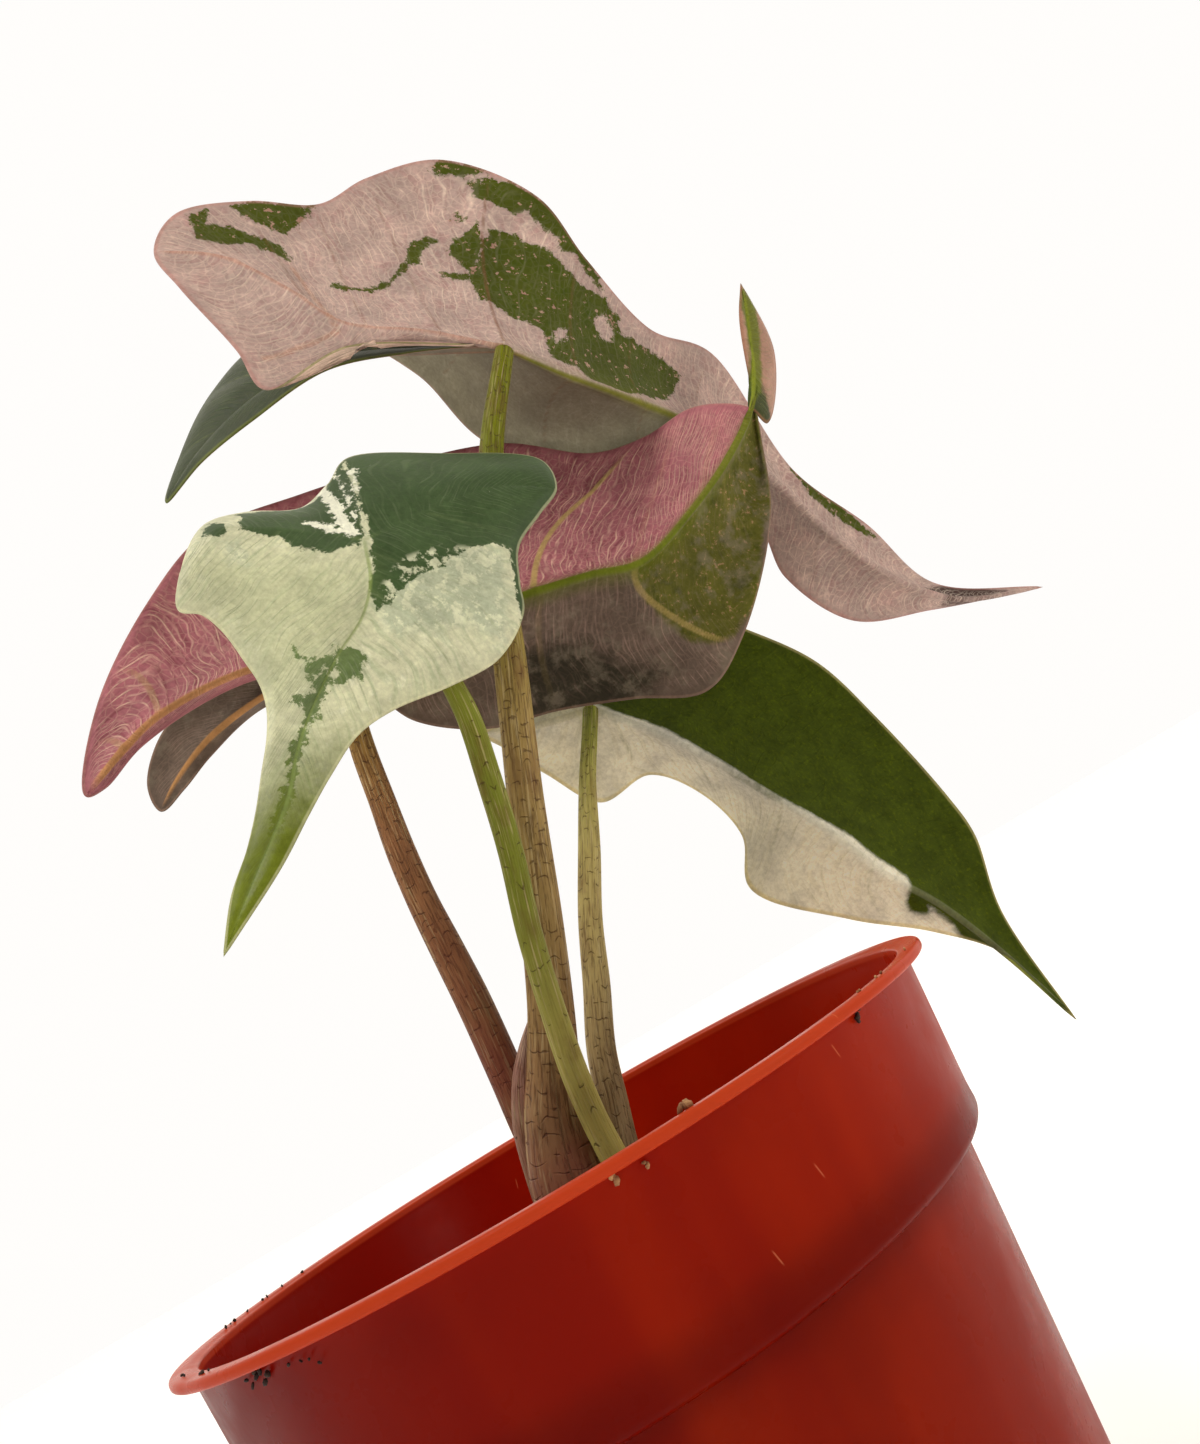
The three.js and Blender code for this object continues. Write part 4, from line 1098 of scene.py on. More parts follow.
def leaf_skin(name, base, coats, veins, lateral, midrib, costa, rim, glow, roughness, mottle=(),
              fade=None, quiet=(), stripes=None, halo=0.0, shine=0.07):
    """Leaf skin. coats are painted in turn, each as attribute, colour, raggedness in millimetres,
    softness in millimetres and cover. mottle has speckle coats as attribute, colour, size, low,
    high and cover. veins is colour, spacing, cover and net cover. lateral, midrib and costa are
    colour, half width and cover. The midrib fades between two distances from the stalk, and halo
    is how much its colour bleeds. quiet has the patches that hide fine veins, and by how much.
    stripes is the colour and cover of soft streaks between the fine veins."""
    material, tree, shader = surface(name, {"Specular IOR Level": shine})
    place = object_mm(tree)

    def layer(label):
        return stored(tree, label)

    def speckled(under, speckles):
        for attribute, paint, size, low, high, cover in speckles:
            mask = between(tree, grain(tree, place, size, 5, 0.66), low, high, 0.0, cover)
            if attribute:
                mask = times(tree, mask, between(tree, layer(attribute), -0.6, 0.6))
            under = blend(tree, mask, under, paint)
        return under

    cloud = grain(tree, place, 7, 4, 0.6)
    specks = grain(tree, place, 0.9, 4, 0.7)
    bent = maths(tree, "MULTIPLY_ADD", grain(tree, place, 8, 1, 0.4), 4.0, layer("strand"))
    colour = speckled(base, [m for m in mottle if not m[0]])
    if stripes:
        along_veins = add_node(tree, "ShaderNodeCombineXYZ", {
            "X": bent, "Y": times(tree, layer("spine"), 0.12), "Z": times(tree, layer("side"), 9)})[0]
        streaky = grain(tree, along_veins, 0.9, 4, 0.6)
        colour = blend(tree, between(tree, streaky, 0.46, 0.66, 0.0, stripes[1]), colour, stripes[0])
    ragged_noise = maths(tree, "SUBTRACT", grain(tree, place, 2.4, 8, 0.74), 0.5)
    for attribute, paint, ragged, soft, cover in coats:
        reach = maths(tree, "MULTIPLY_ADD", ragged_noise, ragged * 5, layer(attribute))
        colour = blend(tree, between(tree, reach, -soft, soft, 0.0, cover), colour, paint)
    colour = speckled(colour, [m for m in mottle if m[0]])

    vein_colour, spacing, cover, net = veins
    strands = 0.0
    for gap, wobble, boldness in ((spacing, 1.5, 1.0), (spacing * 0.62, 7.0, 0.6)):
        moved = maths(tree, "MULTIPLY_ADD", grain(tree, place, 11, 2), wobble, bent)
        apart = maths(tree, "PINGPONG", moved, gap / 2)
        shown = between(tree, grain(tree, place, 3.6 + wobble / 3, 2), 0.36, 0.6, 0.0, boldness)
        line = times(tree, between(tree, apart, 0.05, 0.2, 1.0, 0.0), shown)
        strands = maths(tree, "MAXIMUM", strands, line)
    small_cells = add_node(tree, "ShaderNodeTexVoronoi", {
        "Vector": place, "Scale": 0.55, "Randomness": 1.0}, feature="DISTANCE_TO_EDGE")["Distance"]
    netting = between(tree, small_cells, 0.0, 0.1, net, 0.0)
    inland = between(tree, layer("margin"), 0.3, 3)
    drawn = times(tree, maths(tree, "MAXIMUM", strands, netting), inland)
    for attribute, kept in quiet:
        drawn = times(tree, drawn, between(tree, layer(attribute), -0.5, 0.5, 1.0, kept))
    colour = blend(tree, times(tree, drawn, cover), colour, vein_colour)
    side_vein = between(tree, layer("lateral"), lateral[1], lateral[1] + 0.45, lateral[2], 0.0)
    side_vein = times(tree, side_vein, between(tree, layer("margin"), 1.0, 9), layer("bold"))
    colour = blend(tree, side_vein, colour, lateral[0])
    run = layer("run")
    half = between(tree, run, -4, 4, costa[1], midrib[1])
    ahead = between(tree, run, *fade, midrib[2], 0.0) if fade else (midrib[2],) * 3 + (1,)
    spine_cover = blend(tree, between(tree, run, -4, 4), (costa[2],) * 3 + (1,), ahead)
    on_spine = between(tree, maths(tree, "SUBTRACT", layer("spine"), half), 0, 0.6, 1.0, 0.0)
    bleeding = times(tree, between(tree, layer("spine"), 0, 4.5, halo, 0.0), between(tree, run, -3, 3))
    on_spine = maths(tree, "MAXIMUM", on_spine, bleeding)
    on_spine = times(tree, on_spine, between(tree, layer("margin"), 0.3, 4))
    spine_colour = blend(tree, between(tree, run, -6, 6), costa[0], midrib[0])
    colour = blend(tree, times(tree, on_spine, spine_cover), colour, spine_colour)
    edge = between(tree, layer("margin"), rim[1] * 0.4, rim[1], 1.0, 0.0)
    colour = blend(tree, times(tree, edge, rim[2]), colour, rim[0])
    clouded = between(tree, cloud, 0.3, 0.7, LEAF_CLOUD["dark"], LEAF_CLOUD["light"])
    specked = between(tree, specks, 0.25, 0.75, LEAF_SPECK["dark"], LEAF_SPECK["light"])
    shade = times(tree, clouded, specked)
    greys = add_node(tree, "ShaderNodeCombineColor", {0: shade, 1: shade, 2: shade})[0]
    colour = blend(tree, 1.0, colour, greys, "MULTIPLY")
    tree.links.new(colour, shader.inputs["Base Color"])
    dull = between(tree, specks, 0.3, 0.7, roughness - 0.06, roughness + 0.08)
    tree.links.new(dull, shader.inputs["Roughness"])
    height = maths(tree, "MULTIPLY_ADD", drawn, 0.8, times(tree, specks, 0.5))
    bump(tree, shader, height, LEAF_RELIEF * MM)
    glow_through(tree, shader, glow, colour)
    return material


def patch(outlines, side=None, holes=(), lines=()):
    """A mark made of outlines and bands in x and z, less its holes, on one side of the midrib or
    on both."""
    def mark(on, x, z):
        found = np.full(x.shape, FAR_OUTSIDE)
        if side and on != side:
            return found
        for outline in outlines:
            found = np.maximum(found, inside_by(outline, x, z))
        for line, half_width in lines:
            found = np.maximum(found, near_line(line, half_width, x, z))
        for hole in holes:
            found = np.minimum(found, -inside_by(hole, x, z))
        return found
    return mark


top_green = patch([
    [(62, 273), (66, 274), (69.5, 271.5), (73.5, 268.5), (71, 268), (63, 271)],
    [(68, 267.5), (72, 266.5), (76, 263.5), (79, 259.5), (81.5, 254.5), (83.5, 250), (84, 246.5),
     (84, 242.5), (83, 236.5), (81.5, 238), (80.5, 244), (78.5, 246), (79, 248.5), (77, 253.5),
     (76, 256.5), (73, 257), (71.5, 259.5), (68, 263.5)],
    [(66.5, 255), (69, 254.5), (71.5, 251.5), (73.5, 249), (76, 246.5), (77.5, 243), (78, 239),
     (80, 237), (82.5, 235), (83.5, 231.5), (82.5, 226.5), (86, 225), (90, 222), (92.5, 218.5),
     (88.5, 214), (83.5, 211.5), (76, 211), (71, 211), (68, 213.5), (66, 217), (62.5, 220), (63, 223),
     (64.5, 227.5), (63, 231), (60, 232.5), (58.5, 235.5), (56.5, 238.5), (57, 242.5), (57.5, 245)],
    [(56.5, 253.5), (61, 256), (65.5, 257.5), (63.5, 251), (58.5, 244.5), (58, 248.5)],
    [(61, 261.5), (63, 261.5), (64, 259.5), (62, 259), (60.5, 260)],
    [(53, 248), (55.5, 247.5), (58, 246), (57.5, 244), (54.5, 245.5), (52, 246.5)],
    [(22, 273), (27, 273.5), (32.5, 272), (37.5, 271), (33, 267), (29.5, 265), (25, 268)],
    [(14, 272), (18, 272.5), (17, 269.5), (20.5, 268.5), (24.5, 264), (27.5, 261.5), (27.5, 257.5),
     (25.5, 259), (22.5, 263), (18, 264), (13.5, 265), (14.5, 269)],
    [(109, 195), (111.5, 193), (116.5, 185), (119, 178), (121, 173), (118, 174.5), (114, 181),
     (110, 188.5)],
], side="right", holes=[
    [(78, 230.5), (81, 232), (81, 228.5), (79, 225), (77, 225.5), (77, 228)],
    [(65.5, 226.5), (68.5, 228), (69.5, 228), (67.5, 225), (65.5, 224.5)],
], lines=[
    ([(32.5, 250), (34.5, 248), (39, 247), (44, 249), (49, 252.5), (52, 256), (55.5, 256.5)], 0.6),
    ([(49, 252.5), (51.5, 256), (54, 257)], 1.3),
])
top_dark_tip = patch([[(124, 158), (128, 153), (139, 149.5), (144, 149), (140, 152), (130.5, 157)]])
top_fork = patch([], side="right", lines=[
    ([(28, 236.5), (27.5, 246.5), (27, 255.5)], 0.5), ([(28, 236.5), (21, 236), (14, 234.5)], 0.5)])


def far_half_in_shade(side, x, z):
    """The half beyond the midrib, as far as the stretch where the blade twists, where the underside is
    painted partly in shade.
    """
    return np.where(np.full(x.shape, side == "left"), 12 - 1.6 * np.maximum(x - 84, 0), -12.0)


# The far coat paints the far half grey-olive: partly its own duller colour, partly painted shade.
top_leaf_under = leaf_skin(
    "top_leaf_underside", srgb(200, 176, 168),
    [("green", srgb(78, 90, 0), 1.2, 0.16, 0.96), ("far", srgb(156, 150, 124), 0.4, 1.6, 0.92),
     ("dark_tip", srgb(72, 50, 44), 0.3, 0.6, 0.9), ("fork", srgb(206, 140, 90), 0.1, 0.4, 0.3)],
    veins=(srgb(248, 230, 212), 2.2, 0.6, 0.5), lateral=(srgb(136, 92, 66), 0.1, 0.6),
    midrib=(srgb(138, 140, 36), 0.1, 0.85), costa=(srgb(206, 136, 100), 0.02, 0.35),
    rim=(srgb(204, 140, 132), 0.9, 0.35), glow=0.42, roughness=0.55, fade=(38, 60), halo=0.25,
    quiet=[("green", 0.12), ("far", 0.15)], stripes=(srgb(180, 136, 132), 0.4),
    mottle=[("green", srgb(208, 168, 148), 1.6, 0.61, 0.64, 0.9),
            ("green", srgb(196, 150, 134), 4.5, 0.64, 0.655, 0.9),
            ("green", srgb(60, 78, 4), 3.5, 0.5, 0.7, 0.6),
            (None, srgb(190, 142, 140), 5, 0.5, 0.72, 0.45)])
top_leaf_upper = leaf_skin(
    "top_leaf_upper", srgb(206, 178, 160),
    [("green", srgb(52, 80, 26), 1.1, 0.16, 0.95), ("far", srgb(42, 60, 36), 0.6, 1.2, 0.95),
     ("dark_tip", srgb(48, 60, 36), 0.3, 0.6, 0.9)],
    veins=(srgb(120, 136, 92), 2.5, 0.25, 0.2), lateral=(srgb(130, 140, 80), 0.1, 0.5),
    midrib=(srgb(150, 160, 70), 0.3, 0.8), costa=(srgb(110, 120, 60), 0.2, 0.4),
    rim=(srgb(110, 120, 50), 0.9, 0.6), glow=0.15, roughness=0.45, stripes=(srgb(30, 46, 28), 0.5),
    mottle=[(None, srgb(150, 150, 110), 1.6, 0.68, 0.71, 0.5)])
top_leaf = leaf_piece(
    "top_leaf", TOP_LEAF,
    {"green": top_green, "dark_tip": top_dark_tip, "fork": top_fork, "far": far_half_in_shade},
    fine=20, wide=56, narrow=22, lean=9, puff=0.5, vein={"midrib": 0.4, "costa": 0.3, "lateral": 0.45},
    finishes=[top_leaf_upper, top_leaf_under])
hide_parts("top_blade")
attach(top_leaf, "root")

# Front leaf. The smallest blade, grown from a stalk that bends towards the front, seen from above.
# Glossy dark green lies beside cream that has no green, with milky streaks and splotches.
FRONT_LEAF = {
    "bow": 0.035,
    "blunt": 0.6,
    "midrib": [(13, -27, 188.5), (11, -28, 182), (7.5, -29, 177), (2, -31, 172.5), (-3.5, -33, 167),
               (-8, -35, 161.5), (-12, -37, 155), (-19, -39, 147.5), (-26, -41, 140)],
    "sinus": (13, -21, 203),
    "right": {
        "costa": [(-12, -30, 194.5), (-5.5, -29, 198.5), (0.5, -28, 196.5), (7, -27, 193)],
        "outer": [(-14.5, -31, 188.5), (-12, -31, 186.5), (-10.5, -31, 183), (-9.5, -32, 177),
                  (-9, -33, 172.5), (-9.5, -34, 168.5), (-11, -35, 164.5), (-13.5, -36, 160),
                  (-16, -37, 155.5), (-19, -38, 151), (-22.5, -39.5, 146.5)],
        "inner": [(-6.5, -26, 202), (-0.5, -23, 203), (7.5, -21, 201)],
        "laterals": [(2.4, 1.8, 1.4), (4.6, 3.6, 1.3), (5.6, 5.0, 1.4), (6.7, 6.4, 1.4),
                      (8.0, 8.0, 1.4)],
    },
    "left": {
        "costa": [(45, -18, 187.5), (36, -20, 191), (25, -23, 190.5), (18.5, -25, 189.5)],
        "outer": [(40.5, -19, 184.5), (34.5, -20, 180.5), (31.5, -21, 174.5), (29.5, -22, 169.5),
                  (22.5, -24, 164), (14, -27, 162.5), (5.5, -30, 162), (-0.5, -33, 160), (-6, -35, 156),
                  (-10.5, -37, 152), (-16, -39, 147)],
        "inner": [(46, -15, 195), (32.5, -15, 203), (18, -18, 207.5)],
        "laterals": [(2.2, 1.7, 1.4), (4.3, 3.8, 1.3), (5.3, 5.0, 1.4), (6.4, 6.3, 1.4),
                      (7.6, 7.7, 1.4)],
    },
}
front_green = patch([
    [(9.5, 176.5), (11.5, 177), (14, 178.5), (17.5, 180), (21.5, 180.5), (26.5, 181.5), (30.5, 182),
     (33, 180), (31, 176), (29.5, 171), (28, 168), (30, 166), (34, 172), (48, 182), (52, 196),
     (32, 212), (17, 212), (16.5, 200), (14.5, 190), (12.5, 185), (10.5, 180)],
    [(-1.5, 201.5), (4, 201), (9, 200.5), (11.5, 201.5), (15, 206), (16.5, 208), (16, 200), (14, 191),
     (12, 188), (8, 188), (4.5, 190), (3, 193), (0.5, 195), (-2, 197)],
    [(-6.5, 202.5), (-6, 200.5), (-3.5, 199.5), (-5, 197), (-7, 198.5)],
])
front_streaks = patch([], lines=[
    ([(11.2, 206), (11.8, 199), (12, 191)], 0.95), ([(14.5, 206), (14.2, 198), (13.2, 192)], 0.4),
    ([(7, 195), (9.5, 192.5), (11.5, 190.5)], 0.3), ([(12.4, 208.5), (12.8, 204)], 0.3),
    ([(17, 203), (16, 198.5)], 0.3)])
front_splotch = patch([
    [(-3, 175.5), (-2.5, 173.5), (-0.5, 172.5), (0, 171.5), (-2, 170), (-3, 170), (-3, 172)],
    [(2, 173), (4.5, 172), (5.5, 169.5), (4, 169.5), (3, 168), (0.5, 167.5), (0, 168.5), (1, 171)],
    [(-1.5, 169.5), (-1.5, 167), (-3.5, 165.5), (-5.5, 166), (-5.5, 168), (-3, 168)],
], lines=[([(2, 172.5), (-3.5, 167), (-8, 161.5), (-12, 155), (-15, 151.5)], 0.7)])
front_grey = patch([
    [(-5.5, 195.5), (-3.5, 195), (-2.5, 192.5), (-3.5, 191), (-5.5, 192.5)],
    [(16.5, 183.5), (23, 183.5), (31, 180.5), (28, 172), (24.5, 166), (21, 170), (14, 171.5),
     (10.5, 171.5), (9, 178)],
])
# A broad, soft wash of painted shade that darkens the cream on one half of the blade.
front_painted_shade = patch([[(-12, 196), (4, 190), (11, 184), (8, 176), (0, 170), (-12, 165)]], side="right")


def front_tip(side, x, z):
    """The greener stretch below this height."""
    return 158 - z


# The first coat is painted shade, darkening one half's cream.
front_leaf_upper = leaf_skin(
    "front_leaf_upper", srgb(208, 208, 176),
    [("painted_shade", srgb(176, 180, 142), 1.2, 6, 0.7), ("grey", srgb(170, 178, 152), 1.4, 1.2, 0.75),
     ("green", srgb(50, 74, 34), 0.9, 0.16, 0.97),
     ("splotch", srgb(74, 100, 38), 1.3, 0.2, 0.9), ("tip", srgb(100, 112, 4), 1.5, 9, 0.98),
     ("streak", srgb(238, 238, 218), 1.4, 0.2, 0.95)],
    veins=(srgb(156, 168, 128), 1.9, 0.3, 0.15), lateral=(srgb(160, 172, 120), 0.05, 0.2),
    midrib=(srgb(132, 150, 80), 0.1, 0.7), costa=(srgb(90, 112, 70), 0.1, 0.1),
    rim=(srgb(226, 224, 180), 0.4, 0.35), glow=0.2, roughness=0.42, shine=0.2, halo=0.12,
    quiet=[("green", 0.3), ("tip", 0.3)], stripes=(srgb(158, 172, 136), 0.5),
    mottle=[("grey", srgb(214, 216, 184), 1.7, 0.5, 0.58, 0.8),
            ("green", srgb(196, 204, 170), 0.6, 0.72, 0.75, 0.85),
            (None, srgb(232, 232, 206), 2.2, 0.55, 0.66, 0.45)])
front_leaf_under = leaf_skin(
    "front_leaf_underside", srgb(200, 194, 150),
    [("grey", srgb(160, 164, 126), 1.2, 1.4, 0.7), ("green", srgb(96, 98, 56), 0.8, 0.3, 0.9),
     ("splotch", srgb(120, 128, 66), 1.0, 0.4, 0.7), ("tip", srgb(124, 134, 40), 1.5, 8, 0.8)],
    veins=(srgb(220, 208, 166), 1.9, 0.45, 0.3), lateral=(srgb(176, 164, 114), 0.1, 0.6),
    midrib=(srgb(156, 156, 74), 0.4, 0.85), costa=(srgb(170, 160, 100), 0.3, 0.7),
    rim=(srgb(214, 200, 160), 0.9, 0.6), glow=0.3, roughness=0.5)
front_leaf = leaf_piece(
    "front_leaf", FRONT_LEAF,
    {"green": front_green, "streak": front_streaks, "splotch": front_splotch, "grey": front_grey,
     "tip": front_tip, "painted_shade": front_painted_shade},
    fine=12, wide=40, narrow=20, lean=5, puff=0.35,
    vein={"midrib": 0.4, "costa": 0.08, "lateral": 0.15},
    finishes=[front_leaf_upper, front_leaf_under])
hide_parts("front_blade")
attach(front_leaf, "root")

# Back leaf. A broad blade, folded along its ridged midrib, on the stalk furthest back. Its
# underside shows: plum purple with pale raised strands above the midrib, olive and grey below,
# the grey partly its own colour and partly painted shade.
BACK_LEAF = {
    "bow": 0.06,
    "blunt": 1.0,
    "midrib": [(3, 4, 187), (18.5, 1, 183), (34.5, 0, 180.5), (47.5, 0, 178.5), (56.5, 0, 176.5),
               (70, 1, 181.5), (81, 2, 187.5), (92, 4, 196), (98, 6, 203.5), (104, 9, 214.5),
               (110.5, 12, 226.5)],
    "sinus": (-0.5, 6, 188),
    "right": {
        "costa": [(-41.5, -6, 179.5), (-34, -4, 184.5), (-27.5, -1, 188.5), (-13, 2, 190.5)],
        "outer": [(-35.5, 0, 195.5), (-22.5, 5, 211), (-8, 14, 224.5), (10.5, 22, 228.5),
                  (29.5, 26, 228.5), (52.5, 26, 223), (66.5, 21, 210), (75, 13, 204.5),
                  (83, 6, 202.5), (88.5, 4, 199.5),
                  (93, 5, 197), (96.5, 9, 194.5), (108, 12, 209.5)],
        "inner": [(-39, -3, 180.5), (-32, 0, 185.5), (-16.5, 6, 190.5)],
        "laterals": [(1.0, 0.5, 1.4), (2.0, 1.3, 1.4), (3.1, 2.4, 1.4), (4.6, 4.6, 1.4),
                      (6.2, 7.9, 2.2, 1.2), (7.9, 8.9, 1.8, 0.12), (9.3, 10.2, 1.6, 0.12)],
    },
    "left": {
        "costa": [(-36.5, 16, 179.5), (-31, 15, 183.5), (-23, 13, 187), (-11, 9, 188)],
        "outer": [(-31.5, 15, 181), (-25, 15, 184.5), (-13, 14, 188), (2.5, 12, 184.5),
                  (9.5, 12, 172.5), (20.5, 13, 165.5), (33, 14, 163), (46, 12, 158), (57, 7, 152),
                  (67.5, 6, 157.5),
                  (85, 6, 176), (92.5, 6, 192), (103, 8, 216)],
        "inner": [(-37, 17, 185.5), (-30.5, 16, 193), (-19, 12, 194.5)],
        "laterals": [(2.2, 1.5, 1.4), (4.8, 4.9, 1.4), (6.3, 7.0, 1.6, 0.12),
                      (7.85, 10.0, 1.5, 0.6), (9.9, 11.2, 1.6, 0.1)],
    },
}
back_olive = patch([
    [(54, 176.5), (55, 172), (56.5, 168), (58, 164), (59.5, 161), (62.5, 159), (66, 158.5), (74.5, 162),
     (82, 174), (90, 179), (95, 188.5), (106, 214), (112, 228), (104, 216), (92, 196), (86, 190),
     (78.5, 185), (71.5, 182), (65, 180.5), (58, 177.5)],
], side="left")
back_black = patch([[(31, 174), (36, 173.5), (42.5, 170.5), (47.5, 164.5), (52.5, 159), (46, 157),
                     (39.5, 159), (33, 161), (27, 166)]], side="left")
back_tip = patch([[(112, 228), (106.5, 221.5), (103.5, 214.5), (97, 202.5), (95, 198), (98, 201),
                   (103.5, 209), (108, 216.5), (111, 222)]])


def lower_half_in_shade(side, x, z):
    """All of the half below the midrib, where the underside is painted grey, partly as painted shade.
    """
    return np.full(x.shape, 12.0 if side == "left" else -12.0)


def far_tip(side, x, z):
    """The stretch above this height and beyond this far to the right."""
    return np.minimum(z - 185, x - 98)


# The lower coat paints the half below the midrib grey: partly its own colour, partly painted shade.
back_leaf_under = leaf_skin(
    "back_leaf_underside", srgb(178, 110, 118),
    [("lower", srgb(100, 90, 76), 0.5, 1.0, 0.93), ("olive", srgb(92, 92, 30), 0.6, 0.8, 0.95),
     ("black", srgb(38, 38, 24), 1.5, 2.5, 0.85), ("tip", srgb(96, 104, 14), 0.4, 0.5, 0.9)],
    veins=(srgb(232, 188, 170), 1.7, 0.85, 0.3), lateral=(srgb(196, 168, 104), 0.35, 0.7),
    midrib=(srgb(104, 116, 18), 0.2, 0.92), costa=(srgb(200, 146, 90), 0.15, 0.85),
    rim=(srgb(180, 144, 124), 0.45, 0.3), glow=0.25, roughness=0.55, halo=0.5,
    quiet=[("lower", 0.22), ("olive", 0.25), ("black", 0.4)], stripes=(srgb(132, 62, 74), 0.6),
    mottle=[("olive", srgb(166, 128, 96), 0.9, 0.58, 0.66, 0.7),
            ("olive", srgb(52, 60, 14), 3, 0.5, 0.7, 0.6),
            ("lower", srgb(134, 122, 104), 4, 0.48, 0.66, 0.45)])
back_leaf_upper = leaf_skin(
    "back_leaf_upper", srgb(60, 66, 38),
    [("lower", srgb(58, 76, 32), 0.5, 1.0, 0.9), ("black", srgb(40, 52, 26), 1.5, 2.5, 0.8),
     ("far_tip", srgb(176, 134, 116), 1.0, 1.0, 0.88), ("tip", srgb(96, 108, 20), 0.5, 0.5, 0.9)],
    veins=(srgb(140, 146, 84), 2.0, 0.3, 0.2), lateral=(srgb(176, 182, 96), 0.1, 0.7),
    midrib=(srgb(130, 140, 40), 0.3, 0.85), costa=(srgb(170, 160, 90), 0.25, 0.8),
    rim=(srgb(150, 104, 76), 0.7, 0.5), glow=0.15, roughness=0.42,
    mottle=[(None, srgb(104, 92, 56), 1.6, 0.56, 0.62, 0.6)])
back_leaf = leaf_piece(
    "back_leaf", BACK_LEAF,
    {"olive": back_olive, "black": back_black, "tip": back_tip, "lower": lower_half_in_shade,
     "far_tip": far_tip},
    fine=18, wide=52, narrow=16, lean=10, puff=0.6, vein={"midrib": 0.5, "costa": 0.3, "lateral": 0.3},
    finishes=[back_leaf_upper, back_leaf_under])
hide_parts("back_blade")
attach(back_leaf, "root")

# Right leaf. A long blade that hangs from the shortest stalk, seen from below. One half is vivid
# green, and the other has no green and is thin enough to be lit through.
RIGHT_LEAF = {
    "bow": 0.05,
    "blunt": 0.6,
    "midrib": [(41, 26, 163.5), (47.5, 25, 155.5), (55, 25, 145.5), (62.5, 26, 133.5), (70, 27, 120.5),
               (75.5, 29, 109), (82.5, 31, 98.5), (89.5, 34, 84), (96, 37, 67)],
    "sinus": (39.5, 27, 166),
    "right": {
        "costa": [(34.5, 42, 190), (37.5, 37, 182), (39.5, 31, 172.5)],
        "outer": [(42.5, 46, 194), (54.5, 48, 193), (67.5, 48, 185.5), (77, 48, 178), (84.5, 47, 169),
                  (94.5, 47, 155), (99, 46, 137.5), (102, 44, 115.5), (101.5, 42, 106.5),
                  (95.5, 38, 91)],
        "inner": [(33, 40, 184.5), (35.5, 34, 174)],
        "laterals": [(1.6, 1.1, 1.4), (3.3, 3.9, 1.5), (4.6, 5.5, 1.6), (5.9, 7.0, 1.7),
                      (7.2, 8.2, 1.6), (8.4, 9.2, 1.6)],
    },
    "left": {
        "costa": [(20.5, 30, 170), (26.5, 29, 167.5), (33, 27, 165)],
        "outer": [(23.5, 32, 165.5), (28.5, 34, 157.5), (35.5, 36, 148), (47, 37, 148.5),
                  (54.5, 38, 140.5), (57.5, 38, 129), (53.5, 38, 119), (67.5, 37, 104.5),
                  (80.5, 36, 94.5), (91, 36, 83.5)],
        "inner": [(26.5, 29, 169.5), (34.5, 28, 168)],
        "laterals": [(1.7, 1.2, 1.4), (3.5, 3.9, 1.5), (4.9, 5.5, 1.6), (6.3, 7.2, 1.6),
                      (7.8, 8.6, 1.6)],
    },
}
right_green = patch([
    [(41, 166), (44.5, 161), (51.5, 153.5), (57, 143.5), (62.5, 133.5), (68, 125.5), (73.5, 118),
     (76, 112.5), (78, 109.5), (79.5, 106), (77.5, 102), (78, 100), (80.5, 98), (81, 99.5),
     (82.5, 96.5), (84, 93.5), (84.5, 91), (83, 87), (84, 80), (88, 60), (115, 60),
     (115, 200), (20, 205), (33, 178)],
])
right_leaf_under = leaf_skin(
    "right_leaf_underside", srgb(252, 248, 240),
    [("green", srgb(80, 94, 1), 0.4, 0.6, 0.99)],
    veins=(srgb(110, 122, 30), 2.6, 0.12, 0.1), lateral=(srgb(96, 108, 10), 0.1, 0.4),
    midrib=(srgb(222, 220, 190), 0.1, 0.2), costa=(srgb(190, 180, 130), 0.2, 0.3),
    rim=(srgb(232, 214, 150), 1.1, 0.5), glow=0.55, roughness=0.6, stripes=(srgb(226, 218, 196), 0.3),
    shine=0.06,
    mottle=[("green", srgb(56, 66, 0), 2.0, 0.46, 0.7, 0.5),
            ("green", srgb(122, 134, 8), 0.7, 0.5, 0.72, 0.5)])
right_leaf_upper = leaf_skin(
    "right_leaf_upper", srgb(214, 206, 162),
    [("green", srgb(50, 78, 20), 0.45, 0.35, 0.98)],
    veins=(srgb(140, 156, 76), 2.2, 0.2, 0.2), lateral=(srgb(160, 170, 86), 0.1, 0.5),
    midrib=(srgb(170, 178, 84), 0.3, 0.8), costa=(srgb(170, 170, 100), 0.25, 0.8),
    rim=(srgb(196, 194, 120), 0.8, 0.5), glow=0.25, roughness=0.36,
    mottle=[("green", srgb(34, 56, 16), 2.8, 0.45, 0.7, 0.5)])
right_leaf = leaf_piece(
    "right_leaf", RIGHT_LEAF, {"green": right_green},
    fine=16, wide=44, narrow=10, lean=10, puff=0.4,
    vein={"midrib": 0.25, "costa": 0.25, "lateral": 0.2},
    finishes=[right_leaf_upper, right_leaf_under])
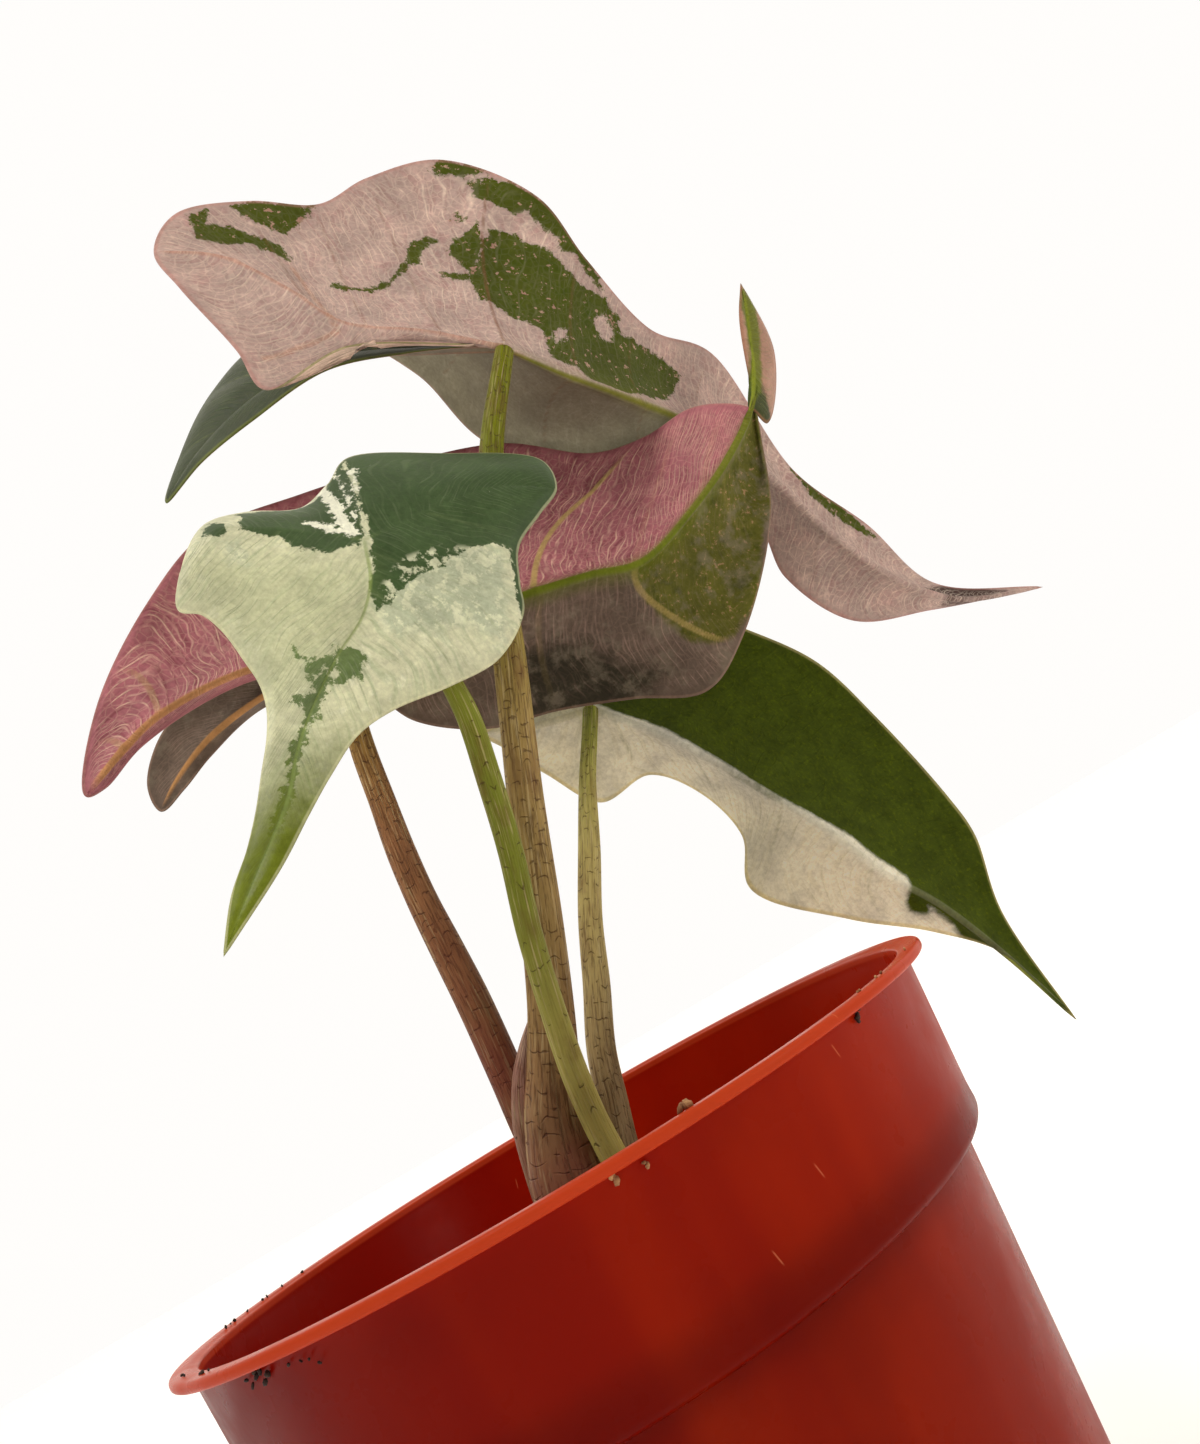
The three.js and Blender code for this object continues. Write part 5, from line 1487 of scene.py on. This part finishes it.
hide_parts("right_blade")
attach(right_leaf, "root")

# Crumbs on the rim. A few crumbs of potting mix left from planting, stuck on the lip and on the
# collar below it, in clusters. A cluster has its angle and half spread in degrees, then its
# radius, height and half rise, its count, and the size of a crumb.
RIM_CRUMBS = [
    ("pale_crumbs", crumb_finish("dry_mix", srgb(170, 128, 84), srgb(110, 70, 40), 0.6), [
        (-78.6, 1.2, 57.4, 100.25, 0.2, 4, 1.3), (-88, 0.5, 57.7, 98.0, 0.3, 3, 1.0),
        (-84, 0.6, 57.6, 97.7, 0.4, 2, 0.8), (-40, 12, 58.6, 100.15, 0.1, 5, 0.5)]),
    ("dark_crumbs", crumb_finish("damp_mix", srgb(52, 32, 20), srgb(22, 12, 8), 0.6), [
        (-135, 2.6, 57.55, 97.4, 0.7, 9, 0.8), (-51, 0.8, 57.55, 97.8, 0.7, 6, 0.75),
        (-128, 4, 57.5, 96.9, 0.6, 4, 0.5), (-150, 8, 58.4, 100.1, 0.1, 6, 0.55),
        (160, 14, 57.6, 100.1, 0.1, 9, 0.6)]),
]
SHAKER_SEED = 4
for name, finish, clusters in RIM_CRUMBS:
    shaker = np.random.default_rng(SHAKER_SEED)
    lumps = []
    for angle, spread, radius, height, rise, count, size in clusters:
        for _ in range(count):
            turn = math.radians(angle + spread * shaker.uniform(-1, 1))
            middle = Vector((radius * math.cos(turn), radius * math.sin(turn), height)) * MM
            middle.z += rise * shaker.uniform(-1, 1) * MM
            widths = size * shaker.uniform(0.5, 1.2, 3) * (1, 1, 0.75)
            lump = new_object(name, lump_mesh(name, widths, float(shaker.uniform(0, 50)), 1))
            tilt = Euler(shaker.uniform(0, 6, 3)).to_matrix().to_4x4()
            lump.data.transform(Matrix.Translation(middle) @ tilt)
            store(lump.data, "tone", np.full(len(lump.data.vertices), shaker.uniform(0, 1)))
            lump.data.materials.append(finish)
            lumps.append(lump)
    crumbs = join(lumps)
    crumbs.data.shade_smooth()
    crumbs.name = name
    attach(crumbs, "root")
